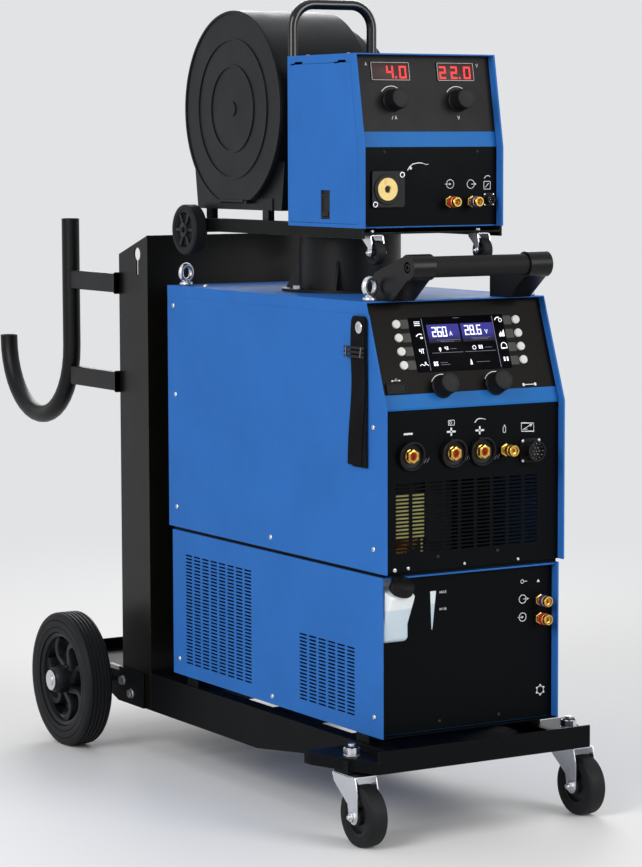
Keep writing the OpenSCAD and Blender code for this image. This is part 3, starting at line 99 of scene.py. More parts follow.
def new_material(name):
    """An empty material's node tree, with its output node."""
    material = bpy.data.materials.new(name)
    material.use_nodes = True
    material.node_tree.nodes.clear()
    return material, material.node_tree, material.node_tree.nodes.new("ShaderNodeOutputMaterial")


floor_half = 14
fade_from, fade_to = 1.1, 3.2
backdrop_grey = srgb(226, 227, 229)
floor_mesh = bpy.data.meshes.new("studio_floor")
floor_mesh.from_pydata(
    [(x * floor_half, y * floor_half, 0) for x, y in ((-1, -1), (1, -1), (1, 1), (-1, 1))],
    [], [(0, 1, 2, 3)])
studio_floor = bpy.data.objects.new("studio_floor", floor_mesh)
scene.collection.objects.link(studio_floor)
floor_paint, tree, output = new_material("floor_paint")
clouds = node(tree, "TexNoise", {"Scale": 1.5, "Detail": 3})
tone = node(tree, "MapRange", {"Value": clouds.outputs["Fac"], "To Min": 0.74, "To Max": 0.78})
shade = node(tree, "BsdfPrincipled", {"Base Color": tone.outputs["Result"], "Roughness": 0.7})


def looked_at(tree):
    """1 for rays that come from the camera, from a mirroring surface or through glass."""
    ray = node(tree, "LightPath")
    direct = node(tree, "Math", {0: ray.outputs["Is Camera Ray"], 1: ray.outputs["Is Glossy Ray"]},
                  operation="MAXIMUM")
    every = node(tree, "Math", {0: direct.outputs[0], 1: ray.outputs["Is Transmission Ray"]},
                 operation="MAXIMUM")
    return every.outputs[0]


spot = node(tree, "TexCoord").outputs["Object"]
away = node(tree, "VectorMath", {0: spot}, operation="LENGTH")
far = node(tree, "MapRange", {"Value": away.outputs["Value"], "From Min": fade_from,
                                "From Max": fade_to},
           interpolation_type="SMOOTHSTEP")
fading = node(tree, "Math", {0: far.outputs["Result"], 1: looked_at(tree)}, operation="MULTIPLY")
pale = node(tree, "Emission", {"Color": backdrop_grey, "Strength": 1})
ground = node(tree, "MixShader", {0: fading.outputs[0], 1: shade.outputs["BSDF"],
                                  2: pale.outputs[0]})
tree.links.new(ground.outputs[0], output.inputs["Surface"])
floor_mesh.materials.append(floor_paint)

sky = bpy.data.worlds.new("sky")
scene.world = sky
sky.use_nodes = True
tree = sky.node_tree
tree.nodes.clear()
sky_light = node(tree, "Background", {"Color": (1, 1, 1, 1), "Strength": 0.5})
sky_seen = node(tree, "Background", {"Color": backdrop_grey, "Strength": 1})
seen = node(tree, "MixShader", {
    0: looked_at(tree), 1: sky_light.outputs[0], 2: sky_seen.outputs[0]})
tree.links.new(seen.outputs[0], tree.nodes.new("ShaderNodeOutputWorld").inputs["Surface"])


def softbox(name, place, target, width, height, watts):
    """A rectangular lamp that faces a point of the set."""
    lamp = bpy.data.lights.new(name, "AREA")
    lamp.shape = "RECTANGLE"
    lamp.size, lamp.size_y = width, height
    lamp.energy = watts
    box = bpy.data.objects.new(name, lamp)
    box.location = place
    box.rotation_euler = (Vector(target) - Vector(place)).to_track_quat("-Z", "Y").to_euler()
    scene.collection.objects.link(box)


softbox("key_softbox", (-3.4, -1.6, 2.4), (0, -0.2, 0.7), 1.8, 2.4, 95)
softbox("front_softbox", (1.6, -4.2, 2.2), (0, -0.2, 0.7), 2.0, 2.0, 85)
softbox("top_softbox", (0.3, 0.6, 3.8), (0, 0.1, 0.8), 2.6, 2.6, 12)
softbox("rear_softbox", (2.2, 3.6, 2.6), (0, 0.2, 0.7), 2.2, 2.2, 70)

# ------------------------------------------------------------------ power source shell
# Two folded steel side sheets and a top cover, 2 mm thick, powder-coated blue, with hemmed
# front edges. The cover's lip overlaps the sides and shows as a thin seam.


def shader_group(name, inputs, outputs):
    """A node group with its named inputs, each with a starting value, and named outputs."""
    made = bpy.data.node_groups.new(name, "ShaderNodeTree")
    for label, start in inputs.items():
        socket = made.interface.new_socket(label, in_out="INPUT", socket_type="NodeSocketFloat")
        socket.default_value = start
    for label, kind in outputs.items():
        made.interface.new_socket(label, in_out="OUTPUT", socket_type="NodeSocket" + kind)
    return made, made.nodes.new("NodeGroupInput").outputs, made.nodes.new("NodeGroupOutput").inputs


# Fine texture of a coat or a moulding, over edges that are slightly rounded
fine_grain, given, result = shader_group(
    "fine_grain", {"Scale": 900, "Height": 0.00002, "Soft Edge": 0.0003}, {"Normal": "Vector"})
place = node(fine_grain, "TexCoord").outputs["Object"]
speckle = node(fine_grain, "TexNoise", {"Vector": place, "Scale": given["Scale"], "Detail": 2})
edge = node(fine_grain, "Bevel", {"Radius": given["Soft Edge"]}, samples=3)
bump = node(fine_grain, "Bump", {"Height": speckle.outputs["Fac"], "Strength": 1,
                                 "Distance": given["Height"], "Normal": edge.outputs["Normal"]})
fine_grain.links.new(bump.outputs["Normal"], result["Normal"])

# Large soft clouds with small specks in them, for uneven colour and gloss
uneven, given, result = shader_group(
    "uneven", {"Scale": 6, "Low": 0, "High": 1}, {"Factor": "Float"})
place = node(uneven, "TexCoord").outputs["Object"]
clouds = node(uneven, "TexNoise", {"Vector": place, "Scale": given["Scale"], "Detail": 6,
                                   "Roughness": 0.65})
spread = node(uneven, "MapRange", {"Value": clouds.outputs["Fac"], "From Min": 0.3,
                                   "From Max": 0.7, "To Min": given["Low"], "To Max": given["High"]})
uneven.links.new(spread.outputs["Result"], result["Factor"])

# Mask of sharp edges, broken up by noise, where a coat is rubbed thin
edge_wear, given, result = shader_group(
    "edge_wear", {"Width": 0.001, "Patch Scale": 60, "Amount": 0.5}, {"Mask": "Float"})
rounded = node(edge_wear, "Bevel", {"Radius": given["Width"]}, samples=4)
true_normal = node(edge_wear, "NewGeometry").outputs["Normal"]
facing = node(edge_wear, "VectorMath", {0: rounded.outputs["Normal"], 1: true_normal},
              operation="DOT_PRODUCT")
sharp = node(edge_wear, "MapRange", {"Value": facing.outputs["Value"], "From Min": 0.99,
                                     "From Max": 0.8})
place = node(edge_wear, "TexCoord").outputs["Object"]
patches = node(edge_wear, "TexNoise", {"Vector": place, "Scale": given["Patch Scale"], "Detail": 4})
broken = node(edge_wear, "MapRange", {"Value": patches.outputs["Fac"], "From Min": 0.4,
                                      "From Max": 0.62})
worn = node(edge_wear, "Math", {0: sharp.outputs["Result"], 1: broken.outputs["Result"]},
            operation="MULTIPLY")
amount = node(edge_wear, "Math", {0: worn.outputs["Value"], 1: given["Amount"]},
              operation="MULTIPLY", use_clamp=True)
edge_wear.links.new(amount.outputs["Value"], result["Mask"])


def mixed(tree, factor, first, second):
    """A colour between two others."""
    made = node(tree, "Mix", {0: factor, 6: first, 7: second}, data_type="RGBA")
    return made.outputs[2]


def finish(name, colour, roughness, grain=900, height=0.012, soft=0.35, shift=0.07, gloss=0.08,
           clouds=7, wear=0.0, worn=(150, 155, 162), wear_width=1.0, **shader):
    """A surface with fine grain, uneven colour and gloss, soft edges and rubbed corners."""
    material, tree, output = new_material(name)
    light = [min(1, c * (1 + shift)) for c in srgb(*colour)[:3]] + [1]
    dark = [c * (1 - shift) for c in srgb(*colour)[:3]] + [1]
    cloudy = node(tree, "Group", {"Scale": clouds}, node_tree=uneven)
    paint = mixed(tree, cloudy.outputs[0], dark, light)
    if wear:
        rubbed = node(tree, "Group", {"Width": wear_width / 1000, "Amount": wear},
                      node_tree=edge_wear)
        paint = mixed(tree, rubbed.outputs[0], paint, srgb(*worn))
    sheen = node(tree, "Group", {"Scale": clouds * 2.3, "Low": roughness - gloss / 2,
                                 "High": roughness + gloss / 2}, node_tree=uneven)
    texture = node(tree, "Group", {"Scale": grain, "Height": height / 1000,
                                   "Soft Edge": soft / 1000}, node_tree=fine_grain)
    surface = node(tree, "BsdfPrincipled", {
        "Base Color": paint, "Roughness": sheen.outputs[0], "Normal": texture.outputs[0]})
    shader.setdefault("Specular_IOR_Level", 0.5 if "Metallic" in shader else 0.2)
    for socket, value in shader.items():
        surface.inputs[socket.replace("_", " ")].default_value = value
    tree.links.new(surface.outputs["BSDF"], output.inputs["Surface"])
    return material


def piece(name, shape, materials, body, replaced=(), bevel=0.0, smooth=35):
    """Adds a finished shape that moves with a body, and stands for CAD nodes where it says so."""
    mesh = bpy.data.meshes.new(name)
    bmesh.ops.recalc_face_normals(shape, faces=shape.faces)
    shape.to_mesh(mesh)
    shape.free()
    if "custom_normal" in mesh.attributes:
        mesh.attributes.remove(mesh.attributes["custom_normal"])
    for material in materials if isinstance(materials, list) else [materials]:
        mesh.materials.append(material)
    mesh.shade_smooth()
    mesh.set_sharp_from_angle(angle=radians(smooth))
    made = bpy.data.objects.new(name, mesh)
    scene.collection.objects.link(made)
    if bevel:
        edges = made.modifiers.new("broken_edges", "BEVEL")
        edges.width = bevel / 1000
        edges.segments = 2
        edges.angle_limit = radians(40)
        edges.harden_normals = True
    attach(made, body)
    if replaced:
        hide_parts(*([replaced] if isinstance(replaced, str) else replaced))
    return made


def cad_shape(name):
    """The solid of a CAD node with its flat faces joined up, so that its edges can be broken."""
    shape = bmesh.new()
    shape.from_mesh(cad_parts[name].data)
    for face in shape.faces:
        face.material_index = 0
    bmesh.ops.remove_doubles(shape, verts=shape.verts, dist=1e-6)
    bmesh.ops.dissolve_limit(shape, angle_limit=radians(1), verts=shape.verts, edges=shape.edges)
    return shape


shell_blue = finish("shell_blue", (43, 101, 174), 0.55, wear=0.25, worn=(96, 140, 200),
                    Specular_IOR_Level=0.06)
for name, made in (("side_panels", "source_side_sheets"), ("top_cover", "source_top_sheet")):
    piece(made, cad_shape(name), shell_blue, "cart", name, bevel=0.7)

# ------------------------------------------------------------------ black front sheet
# The folded front sheet of the source is punched with nine columns of cooling slots, and is
# held to the floor and the sides by small screws.


def stand(x, y, z, normal, across=(1, 0, 0)):
    """Carries local millimetres to a place on the set, with local z along the normal."""
    up = Vector(normal).normalized()
    side = Vector(across)
    side = (side - up * up.dot(side)).normalized()
    turn = Matrix((side, up.cross(side), up)).transposed().to_4x4()
    return Matrix.Translation(at(x, y, z)) @ turn @ Matrix.Scale(0.001, 4)


FRONT, REAR, LEFT, RIGHT, TOP = (0, -1, 0), (0, 1, 0), (-1, 0, 0), (1, 0, 0), (0, 0, 1)


def punched(outline, holes, thickness, place, edge=0.25):
    """A sheet with holes cut through it and slightly rounded edges; its outer face is at z = 0."""
    curve = bpy.data.curves.new("sheet_outline", "CURVE")
    curve.dimensions = "2D"
    curve.fill_mode = "BOTH"
    curve.extrude = thickness / 2 - edge
    curve.bevel_depth = edge
    curve.bevel_resolution = 0
    curve.offset = -edge
    for loop in [outline, *holes]:
        line = curve.splines.new("POLY")
        line.points.add(len(loop) - 1)
        for point, (u, v) in zip(line.points, loop):
            point.co = (u, v, 0, 1)
        line.use_cyclic_u = True
    cutter = bpy.data.objects.new("sheet_outline", curve)
    mesh = bpy.data.meshes.new_from_object(cutter)
    bpy.data.objects.remove(cutter)
    mesh.transform(place @ Matrix.Translation((0, 0, -thickness / 2)))
    shape = bmesh.new()
    shape.from_mesh(mesh)
    bpy.data.meshes.remove(mesh)
    bmesh.ops.remove_doubles(shape, verts=shape.verts, dist=1e-6)
    return shape


def slot_outline(u, v, width, height, steps=3):
    """A slot with round ends, from its lower left corner."""
    r = height / 2
    turns = [pi / 2 + pi * k / steps for k in range(steps + 1)]
    left = [(u + r + r * cos(t), v + r + r * sin(t)) for t in turns]
    return left + [(2 * u + width - x, 2 * v + height - y) for x, y in left]


def vent(u0, u1, v0, columns, rows, slot_h=3.0, pitch=6.1, strip=5.5):
    """Outlines of a field of cooling slots."""
    step = (u1 - u0 + strip) / columns
    return [slot_outline(u0 + c * step, v0 + r * pitch, step - strip, slot_h)
            for c in range(columns) for r in range(rows)]


def box_outline(u0, v0, u1, v1):
    return [(u0, v0), (u1, v0), (u1, v1), (u0, v1)]


def disc_outline(u, v, r, count=40):
    return [(u + r * cos(tau * k / count), v + r * sin(tau * k / count)) for k in range(count)]


panel_black = finish("panel_black", (4, 6, 9), 0.5, wear=0.15, worn=(50, 55, 62),
                     Specular_IOR_Level=0.05)
front_y, front_low, front_high, inner_half = 15, 438, 701, 173
weld_x, weld_z, gas_x = (-120, -38, 18), 624, 64
control_x, control_z = 115, 620
front_holes = vent(-147, 130, 467, 9, 19) + [disc_outline(x, weld_z, 19.2) for x in weld_x]
front_holes += [disc_outline(gas_x, weld_z, 6.2), disc_outline(control_x, control_z, 17.2)]
piece("source_front_sheet",
      punched(box_outline(-inner_half, front_low, inner_half, front_high), front_holes, 2,
              stand(0, front_y, 0, FRONT)),
      panel_black, "cart", "source_front")

# ------------------------------------------------------------------ screws
# Zinc-plated pan-head screws with a six-sided socket hold the sheets to folded lips inside.
# A few on the black fronts are blackened.


def ring(radius, z, count=24, sides=0, turn=0.0):
    """Points round the local z axis, on a circle or on a polygon of so many sides."""
    points = []
    for k in range(count):
        angle = tau * k / count
        r = radius
        if sides:
            r = radius / cos((angle + pi / sides) % (tau / sides) - pi / sides)
        points.append((r * cos(angle + turn), r * sin(angle + turn), z))
    return points


def skin(shape, rings, place, slot=0, ends=(True, True), joined=False):
    """Skins rings of as many points each, in order, and closes the ends."""
    rows = [[shape.verts.new(place @ Vector(p)) for p in points] for points in rings]
    pairs = list(zip(rows, rows[1:])) + ([(rows[-1], rows[0])] if joined else [])
    count = len(rows[0])
    faces = [shape.faces.new((a[k], a[(k + 1) % count], b[(k + 1) % count], b[k]))
             for a, b in pairs for k in range(count)]
    if ends[0] and not joined:
        faces.append(shape.faces.new(rows[0][::-1]))
    if ends[1] and not joined:
        faces.append(shape.faces.new(rows[-1]))
    for face in faces:
        face.material_index = slot
    return faces


def turned(shape, place, profile, count=32, slot=0):
    """A turned solid from (radius, height) pairs, or (radius, height, sides) for flats."""
    rings = [ring(p[0], p[1], count, p[2] if len(p) > 2 else 0) for p in profile]
    return skin(shape, rings, place, slot)


def pan_head(shape, place, d):
    """A pan-head screw with a hexagon socket, its seat at z = 0."""
    r = d / 2
    profile = [(r * 0.98, -0.4), (r, 0), (r * 0.97, r * 0.22), (r * 0.8, r * 0.42),
               (r * 0.52, r * 0.52), (r * 0.4, r * 0.5, 6), (r * 0.38, r * 0.12, 6)]
    turned(shape, place, profile, 24)


bright_zinc = finish("bright_zinc", (214, 216, 220), 0.28, grain=400, height=0.006, shift=0.05,
                     gloss=0.1, Metallic=1.0)
dark_zinc = finish("dark_zinc", (128, 132, 138), 0.35, grain=400, height=0.006, shift=0.08,
                   gloss=0.1, Metallic=1.0)
side_screws = [(711.6, 835), (705.7, 676), (703.5, 473), (367, 456), (37, 474), (37.8, 671)]
cooler_screws = [(699.5, 196), (365.6, 181), (37, 200)]
source_half, cooler_half, source_top = 175, 174, 871
screws = bmesh.new()
for side, normal in ((-1, LEFT), (1, RIGHT)):
    for y, z in side_screws:
        pan_head(screws, stand(side * source_half, y, z, normal, (0, 1, 0)), 9)
    for y, z in cooler_screws:
        pan_head(screws, stand(side * cooler_half, y, z, normal, (0, 1, 0)), 9)
for x, y in ((-140, 655), (140, 655)):
    pan_head(screws, stand(x, y, source_top, TOP), 11)
piece("sheet_screws", screws, bright_zinc, "cart")
small_screws = bmesh.new()
for x, z, d in ((-149.5, 440.5, 8), (-123.5, 442, 6), (-14.2, 441.5, 5), (92, 441, 5)):
    pan_head(small_screws, stand(x, front_y, z, FRONT), d)
piece("source_front_screws", small_screws, bright_zinc, "cart")
black_zinc = finish("black_zinc", (46, 48, 52), 0.4, grain=400, height=0.006, Metallic=0.8)
dark_screws = bmesh.new()
cooler_face = 30
for x, y, z in ((-66.2, front_y, 457), (51, front_y, 458), (-53, cooler_face, 182),
                (64.5, cooler_face, 181)):
    pan_head(dark_screws, stand(x, y, z, FRONT), 6)
piece("black_front_screws", dark_screws, black_zinc, "cart")

# ------------------------------------------------------------------ control panel
# A leaning plate covered by a dark membrane, with a glass display window, a bare blue stripe
# along its lower edge and a rubber cover over a small port.
slope_run, slope_rise = 61.4, 170
lean = atan2(slope_run, slope_rise)
panel_out = (0, -cos(lean), sin(lean))
on_panel = stand(0, front_y, front_high, panel_out)


def slab(shape, outline, low, high, place, slot=0):
    """A flat plate cut to an outline, between two heights."""
    skin(shape, [[(u, v, low) for u, v in outline], [(u, v, high) for u, v in outline]],
         place, slot)


def rounded_box(u0, v0, u1, v1, r, steps=4):
    """Outline of a box with round corners."""
    points = []
    for cu, cv, start in ((u1 - r, v1 - r, 0), (u0 + r, v1 - r, 1), (u0 + r, v0 + r, 2),
                          (u1 - r, v0 + r, 3)):
        points += [(cu + r * cos(pi / 2 * (start + k / steps)),
                    cv + r * sin(pi / 2 * (start + k / steps))) for k in range(steps + 1)]
    return points


membrane_dark = finish("membrane_dark", (14, 12, 9), 0.42, grain=1500, height=0.004,
                       Specular_IOR_Level=0.07)
stripe_blue = finish("stripe_blue", (26, 98, 166), 0.4, grain=1500, height=0.003,
                     Specular_IOR_Level=0.1)
piece("control_plate", cad_shape("control_panel"), membrane_dark, "cart",
      "control_panel", bevel=0.5)
membrane = bmesh.new()
slab(membrane, rounded_box(-168, 23.6, 168, 177, 2), -0.1, 0.35, on_panel)
piece("control_membrane", membrane, membrane_dark, "cart")
stripe = bmesh.new()
slab(stripe, box_outline(-171, 0, 171, 23), -0.1, 0.4, on_panel)
slab(stripe, box_outline(-171, 697.8, 171, 701.2), -0.1, 0.4, stand(0, front_y, 0, FRONT))
piece("source_stripe", stripe, stripe_blue, "cart", bevel=0.1)
rubber_black = finish("rubber_black", (12, 12, 13), 0.62, grain=700, height=0.02)
port_cover = bmesh.new()
skin(port_cover, [[(u, v, z) for u, v in rounded_box(-159 + i, 24 + i, -117 - i, 42 - i, 4)]
                  for z, i in ((0.2, 0), (2.6, 0), (3.2, 0.8), (3.2, 3), (2.6, 3.6), (2.6, 5))],
     on_panel)
turned(port_cover, on_panel @ Matrix.Translation((-120, 33, 2.5)), [(3.5, 0), (3.5, 1.2), (2.8, 1.6)],
       16)
piece("port_cover", port_cover, rubber_black, "cart")

# ------------------------------------------------------------------ display
# A glossy glass window over a colour display: two large readings on lit tiles, small readings
# below them, and a dark column of symbols at each side, next to the keys.
display_glass = finish("display_glass", (3, 3, 5), 0.5, grain=300, height=0.0, shift=0.02,
                       gloss=0.04, soft=0.5, Specular_IOR_Level=0.03)
window = bmesh.new()
skin(window, [[(u, v, z) for u, v in rounded_box(-92 + i, 58 + i, 92 - i, 150 - i, 2)]
              for z, i in ((0.2, 0), (1.3, 0), (1.6, 0.4))], on_panel)
piece("display_window", window, display_glass, "cart")


def glow(name, colour, strength, roughness=0.4):
    """A lit face of a display, with a little unevenness."""
    material, tree, output = new_material(name)
    cloudy = node(tree, "Group", {"Scale": 30}, node_tree=uneven)
    light = mixed(tree, cloudy.outputs[0], [c * 0.85 for c in srgb(*colour)[:3]] + [1],
                  srgb(*colour))
    surface = node(tree, "BsdfPrincipled", {
        "Base Color": light, "Emission Color": light, "Emission Strength": strength,
        "Roughness": roughness, "Specular IOR Level": 0.1})
    tree.links.new(surface.outputs["BSDF"], output.inputs["Surface"])
    return material


def tile_glow(name, low, high, colour, edge_colour, strength):
    """A lit tile, bright across the middle and dimmer towards its lower edge at a given height."""
    material, tree, output = new_material(name)
    spot = node(tree, "TexCoord").outputs["Object"]
    height = node(tree, "SeparateXYZ", {0: spot}).outputs["Z"]
    fade = node(tree, "MapRange", {"Value": height, "From Min": low, "From Max": high},
                interpolation_type="SMOOTHSTEP")
    light = mixed(tree, fade.outputs["Result"], srgb(*edge_colour), srgb(*colour))
    surface = node(tree, "BsdfPrincipled", {
        "Base Color": light, "Emission Color": light, "Emission Strength": strength,
        "Roughness": 0.4, "Specular IOR Level": 0.1})
    tree.links.new(surface.outputs["BSDF"], output.inputs["Surface"])
    return material


def panel_height(s):
    """Height over the floor of a place on the control panel, in metres."""
    return (front_high + s * cos(lean)) / 1000


tile_violet = tile_glow("tile_violet", panel_height(106), panel_height(124), (46, 44, 126),
                        (9, 9, 24), 0.34)
tiles = bmesh.new()
for u0, u1 in ((-60, 2), (6, 69)):
    slab(tiles, rounded_box(u0, 106, u1, 137, 1), 1.5, 1.75, on_panel)
piece("display_tiles", tiles, tile_violet, "cart")
display_white = glow("display_white", (238, 240, 250), 0.75)
display_dim = glow("display_dim", (120, 122, 140), 0.3)


def stroke(shape, points, width, height, place, low=0.0, slot=0, closed=False):
    """A printed or lit line of some width along points of a panel."""
    rings = []
    last = len(points) - 1
    for k, (u, v) in enumerate(points):
        before = points[k - 1] if k or closed else points[0]
        after = points[(k + 1) % len(points)] if k < last or closed else points[last]
        run = hypot(after[0] - before[0], after[1] - before[1]) or 1
        nu, nv = -(after[1] - before[1]) / run, (after[0] - before[0]) / run
        if k and (k < last or closed) or closed:
            leg = hypot(u - before[0], v - before[1]) or 1
            cross = (nu * -(v - before[1]) + nv * (u - before[0])) / leg
            nu, nv = nu / max(cross, 0.5), nv / max(cross, 0.5)
        half = width / 2
        rings.append([(u - nu * half, v - nv * half, low), (u + nu * half, v + nv * half, low),
                      (u + nu * half, v + nv * half, height),
                      (u - nu * half, v - nv * half, height)])
    skin(shape, rings, place, slot, joined=closed)


def arc(u, v, r, start, end, steps=12):
    """Points of an arc, with its angles in degrees."""
    return [(u + r * cos(radians(start + (end - start) * k / steps)),
             v + r * sin(radians(start + (end - start) * k / steps))) for k in range(steps + 1)]


def mark(shape, points, width, place, layer, closed=False):
    """A line of some width in a printed or lit layer, which is a pair of heights."""
    stroke(shape, points, width, layer[1], place, layer[0], closed=closed)


SEGMENTS = {"0": "abcdef", "1": "bc", "2": "abged", "3": "abgcd", "4": "fgbc", "5": "afgcd",
            "6": "afgedc", "7": "abc", "8": "abcdefg", "9": "abcdfg", "T": "aik"}


def digits(shape, text, u, v, height, width, weight, place, low, high):
    """Seven-segment characters in a row, from their lower left corner."""
    for sign in text:
        if sign == ".":
            slab(shape, box_outline(u - weight * 0.2, v, u + weight, v + weight * 1.2),
                 low, high, place)
            u += weight * 1.9
            continue
        half = weight / 2
        x0, x1, y0, y1, y2 = half, width - half, half, height / 2, height - half
        lines = {"a": ((x0, y2), (x1, y2)), "b": ((x1, y1), (x1, y2)), "c": ((x1, y0), (x1, y1)),
                 "d": ((x0, y0), (x1, y0)), "e": ((x0, y0), (x0, y1)), "f": ((x0, y1), (x0, y2)),
                 "g": ((x0, y1), (x1, y1)), "i": ((width / 2, y1), (width / 2, y2)),
                 "k": ((width / 2, y0), (width / 2, y1))}
        for name in SEGMENTS.get(sign, ""):
            (ax, ay), (bx, by) = lines[name]
            flat = ay == by
            reach = half * 0.9
            ax, bx = (ax - reach, bx + reach) if flat else (ax, bx)
            ay, by = (ay, by) if flat else (ay - reach, by + reach)
            ends = [(u + x, v + y) for x, y in ((ax, ay), (bx, by))]
            stroke(shape, ends, weight, high, place, low)
        u += width + weight * 0.9


def letter(shape, name, u, v, size, weight, place, low, high):
    """A plain unit letter made of strokes."""
    w, h = size * 0.7, size
    paths = {"A": [[(0, 0), (w / 2, h), (w, 0)], [(w * 0.2, h * 0.35), (w * 0.8, h * 0.35)]],
             "V": [[(0, h), (w / 2, 0), (w, h)]],
             "M": [[(0, 0), (0, h), (w / 2, h * 0.4), (w, h), (w, 0)]],
             "X": [[(0, 0), (w, h)], [(0, h), (w, 0)]],
             "I": [[(w / 2, 0), (w / 2, h)]],
             "N": [[(0, 0), (0, h), (w, 0), (w, h)]]}
    for path in paths[name]:
        stroke(shape, [(u + x, v + y) for x, y in path], weight, high, place, low)


lit = bmesh.new()
LIT = (1.6, 1.95)
digits(lit, "260", -51.5, 116, 16.7, 8.4, 1.9, on_panel, *LIT)
digits(lit, "28.6", 12.5, 117, 16.7, 8.4, 1.9, on_panel, *LIT)
letter(lit, "A", -18, 117.5, 7, 0.9, on_panel, *LIT)
letter(lit, "V", 52, 118.5, 7, 0.9, on_panel, *LIT)
for k in range(3):
    mark(lit, [(-83, 136.6 + 3 * k), (-72, 136.6 + 3 * k)], 1.1, on_panel, LIT)
digits(lit, "4T", -82.5, 89, 8, 4.2, 1.1, on_panel, *LIT)
mark(lit, arc(-76, 114, 8, 60, 150, 8), 1.5, on_panel, LIT)
slab(lit, rounded_box(-76, 114, -71, 117, 1), *LIT, on_panel)
mark(lit, arc(-82, 67, 4, 20, 160, 6), 0.9, on_panel, LIT)
mark(lit, arc(-74, 67, 4, 20, 160, 6), 0.9, on_panel, LIT)
slab(lit, disc_outline(-75, 73.5, 1.7, 12), *LIT, on_panel)
mark(lit, arc(82, 138, 7, 70, 160, 8), 1.6, on_panel, LIT)
mark(lit, arc(86, 140, 3, 0, 360, 12)[:-1], 1.0, on_panel, LIT, closed=True)
slab(lit, [(79, 112), (83, 112), (83, 121), (79, 116)], *LIT, on_panel)
slab(lit, [(84, 112), (89, 112), (89, 124), (84, 118)], *LIT, on_panel)
mark(lit, arc(84, 96, 5.5, 0, 180, 10), 1.2, on_panel, LIT)
mark(lit, [(78.5, 95.5), (78.5, 92), (89.5, 92), (89.5, 95.5)], 1.2, on_panel, LIT)
for u in (80, 86):
    mark(lit, [(u, 70), (u, 77)], 3.0, on_panel, LIT)
slab(lit, disc_outline(-42, 96, 2.2, 12), *LIT, on_panel)
slab(lit, [(-44.2, 95), (-42, 90.5), (-39.8, 95)], *LIT, on_panel)
digits(lit, "43", -33, 93.5, 5.5, 3, 0.8, on_panel, *LIT)
mark(lit, arc(25, 95.5, 3.2, 0, 360, 12)[:-1], 0.9, on_panel, LIT, closed=True)
digits(lit, "83", 34, 93, 6, 3.2, 0.9, on_panel, *LIT)
for u, v in ((-57.5, 69), (-53, 69), (-57.5, 73), (-53, 73)):
    slab(lit, rounded_box(u - 1.8, v - 1.6, u + 1.8, v + 1.6, 0.8), *LIT, on_panel)
slab(lit, [(11.5, 67), (16, 67), (15, 74), (13.5, 76.5), (12.6, 72)], *LIT, on_panel)
piece("display_readings", lit, display_white, "cart")
dim = bmesh.new()
for u in (-67.5, 70.5):
    stroke(dim, [(u, 60), (u, 148)], 0.8, 1.9, on_panel, 1.6)
for u0, u1, v in ((-45, 0, 110.3), (-38, -12, 107.8), (22, 60, 112), (25, 55, 109.6),
                  (-58, 2, 89), (6, 66, 89), (-22, -10, 95), (46, 60, 95), (-46, -32, 72.5),
                  (-46, -28, 69), (24, 50, 71), (-6, 6, 147)):
    stroke(dim, [(u0, v), (u1, v)], 0.55, 1.85, on_panel, 1.6)
piece("display_rules", dim, display_dim, "cart")

# ------------------------------------------------------------------ keys and panel print
# Eight light grey push keys in two columns, grey printed tabs that lead from them to the display,
# and the small white marks of the panel.
tab_grey = finish("tab_grey", (58, 58, 55), 0.42, grain=1500, height=0.003)
print_white = finish("print_white", (222, 224, 226), 0.5, grain=1500, height=0.002)
key_grey = finish("key_grey", (206, 207, 203), 0.42, grain=1200, height=0.004, Subsurface_Weight=0.1,
                  Subsurface_Scale=0.001)
key_s = [140, 117, 94, 71]
tabs = bmesh.new()
for side in (-1, 1):
    for s in key_s:
        u0, u1 = sorted((side * 93, side * 109))
        slab(tabs, rounded_box(u0, s - 7.5, u1, s + 7.5, 1.5), 0.2, 0.5, on_panel)
piece("key_tabs", tabs, tab_grey, "cart")
for k in range(8):
    side, s = (-1 if k < 4 else 1), key_s[k % 4]
    key = bmesh.new()
    turned(key, on_panel @ Matrix.Translation((side * 117, s, 0)),
           [(8.5, -8), (8.5, -6), (7, -5.9), (7, 3.3), (6.7, 4.0), (6.0, 4.4), (4.5, 4.3),
            (3.0, 4.0), (1.0, 3.9)], 32)
    piece(f"panel_key_{k + 1}", key, key_grey, f"key_{k + 1}", f"key_{k + 1}")

panel_print = bmesh.new()
HIGH = (0.3, 0.55)
for u in (-52, 52):
    mark(panel_print, arc(u + 3, 30, 23.5, 75, 150, 14), 1.3, on_panel, HIGH)
mark(panel_print, [(-144, 46.5), (-130, 46.5)], 0.8, on_panel, HIGH)
slab(panel_print, disc_outline(-144, 46.5, 1.6, 12), *HIGH, on_panel)
slab(panel_print, [(-131, 44.8), (-128, 46.5), (-131, 48.2)], *HIGH, on_panel)
mark(panel_print, [(-140, 46.5), (-137, 49.5), (-134, 49.5)], 0.7, on_panel, HIGH)
mark(panel_print, [(110, 28.5), (130, 28.5)], 1.2, on_panel, HIGH)
for u in (108.5, 131.5):
    slab(panel_print, rounded_box(u - 2.2, 26, u + 2.2, 31, 1), *HIGH, on_panel)
piece("control_marks", panel_print, print_white, "cart")

# ------------------------------------------------------------------ source knobs
# Two moulded black knobs with fine flutes and a slightly dished cap, each pushed on a metal
# shaft that turns without a stop.
knob_black = finish("knob_black", (11, 11, 12), 0.5, grain=1300, height=0.008, wear=0.2,
                    worn=(48, 48, 50))


def fluted(radius, z, flutes, depth, count):
    """A ring with fine finger flutes."""
    points = []
    for k in range(count):
        angle = tau * k / count
        r = radius - depth * (0.5 - 0.5 * cos(flutes * angle)) ** 2
        points.append((r * cos(angle), r * sin(angle), z))
    return points


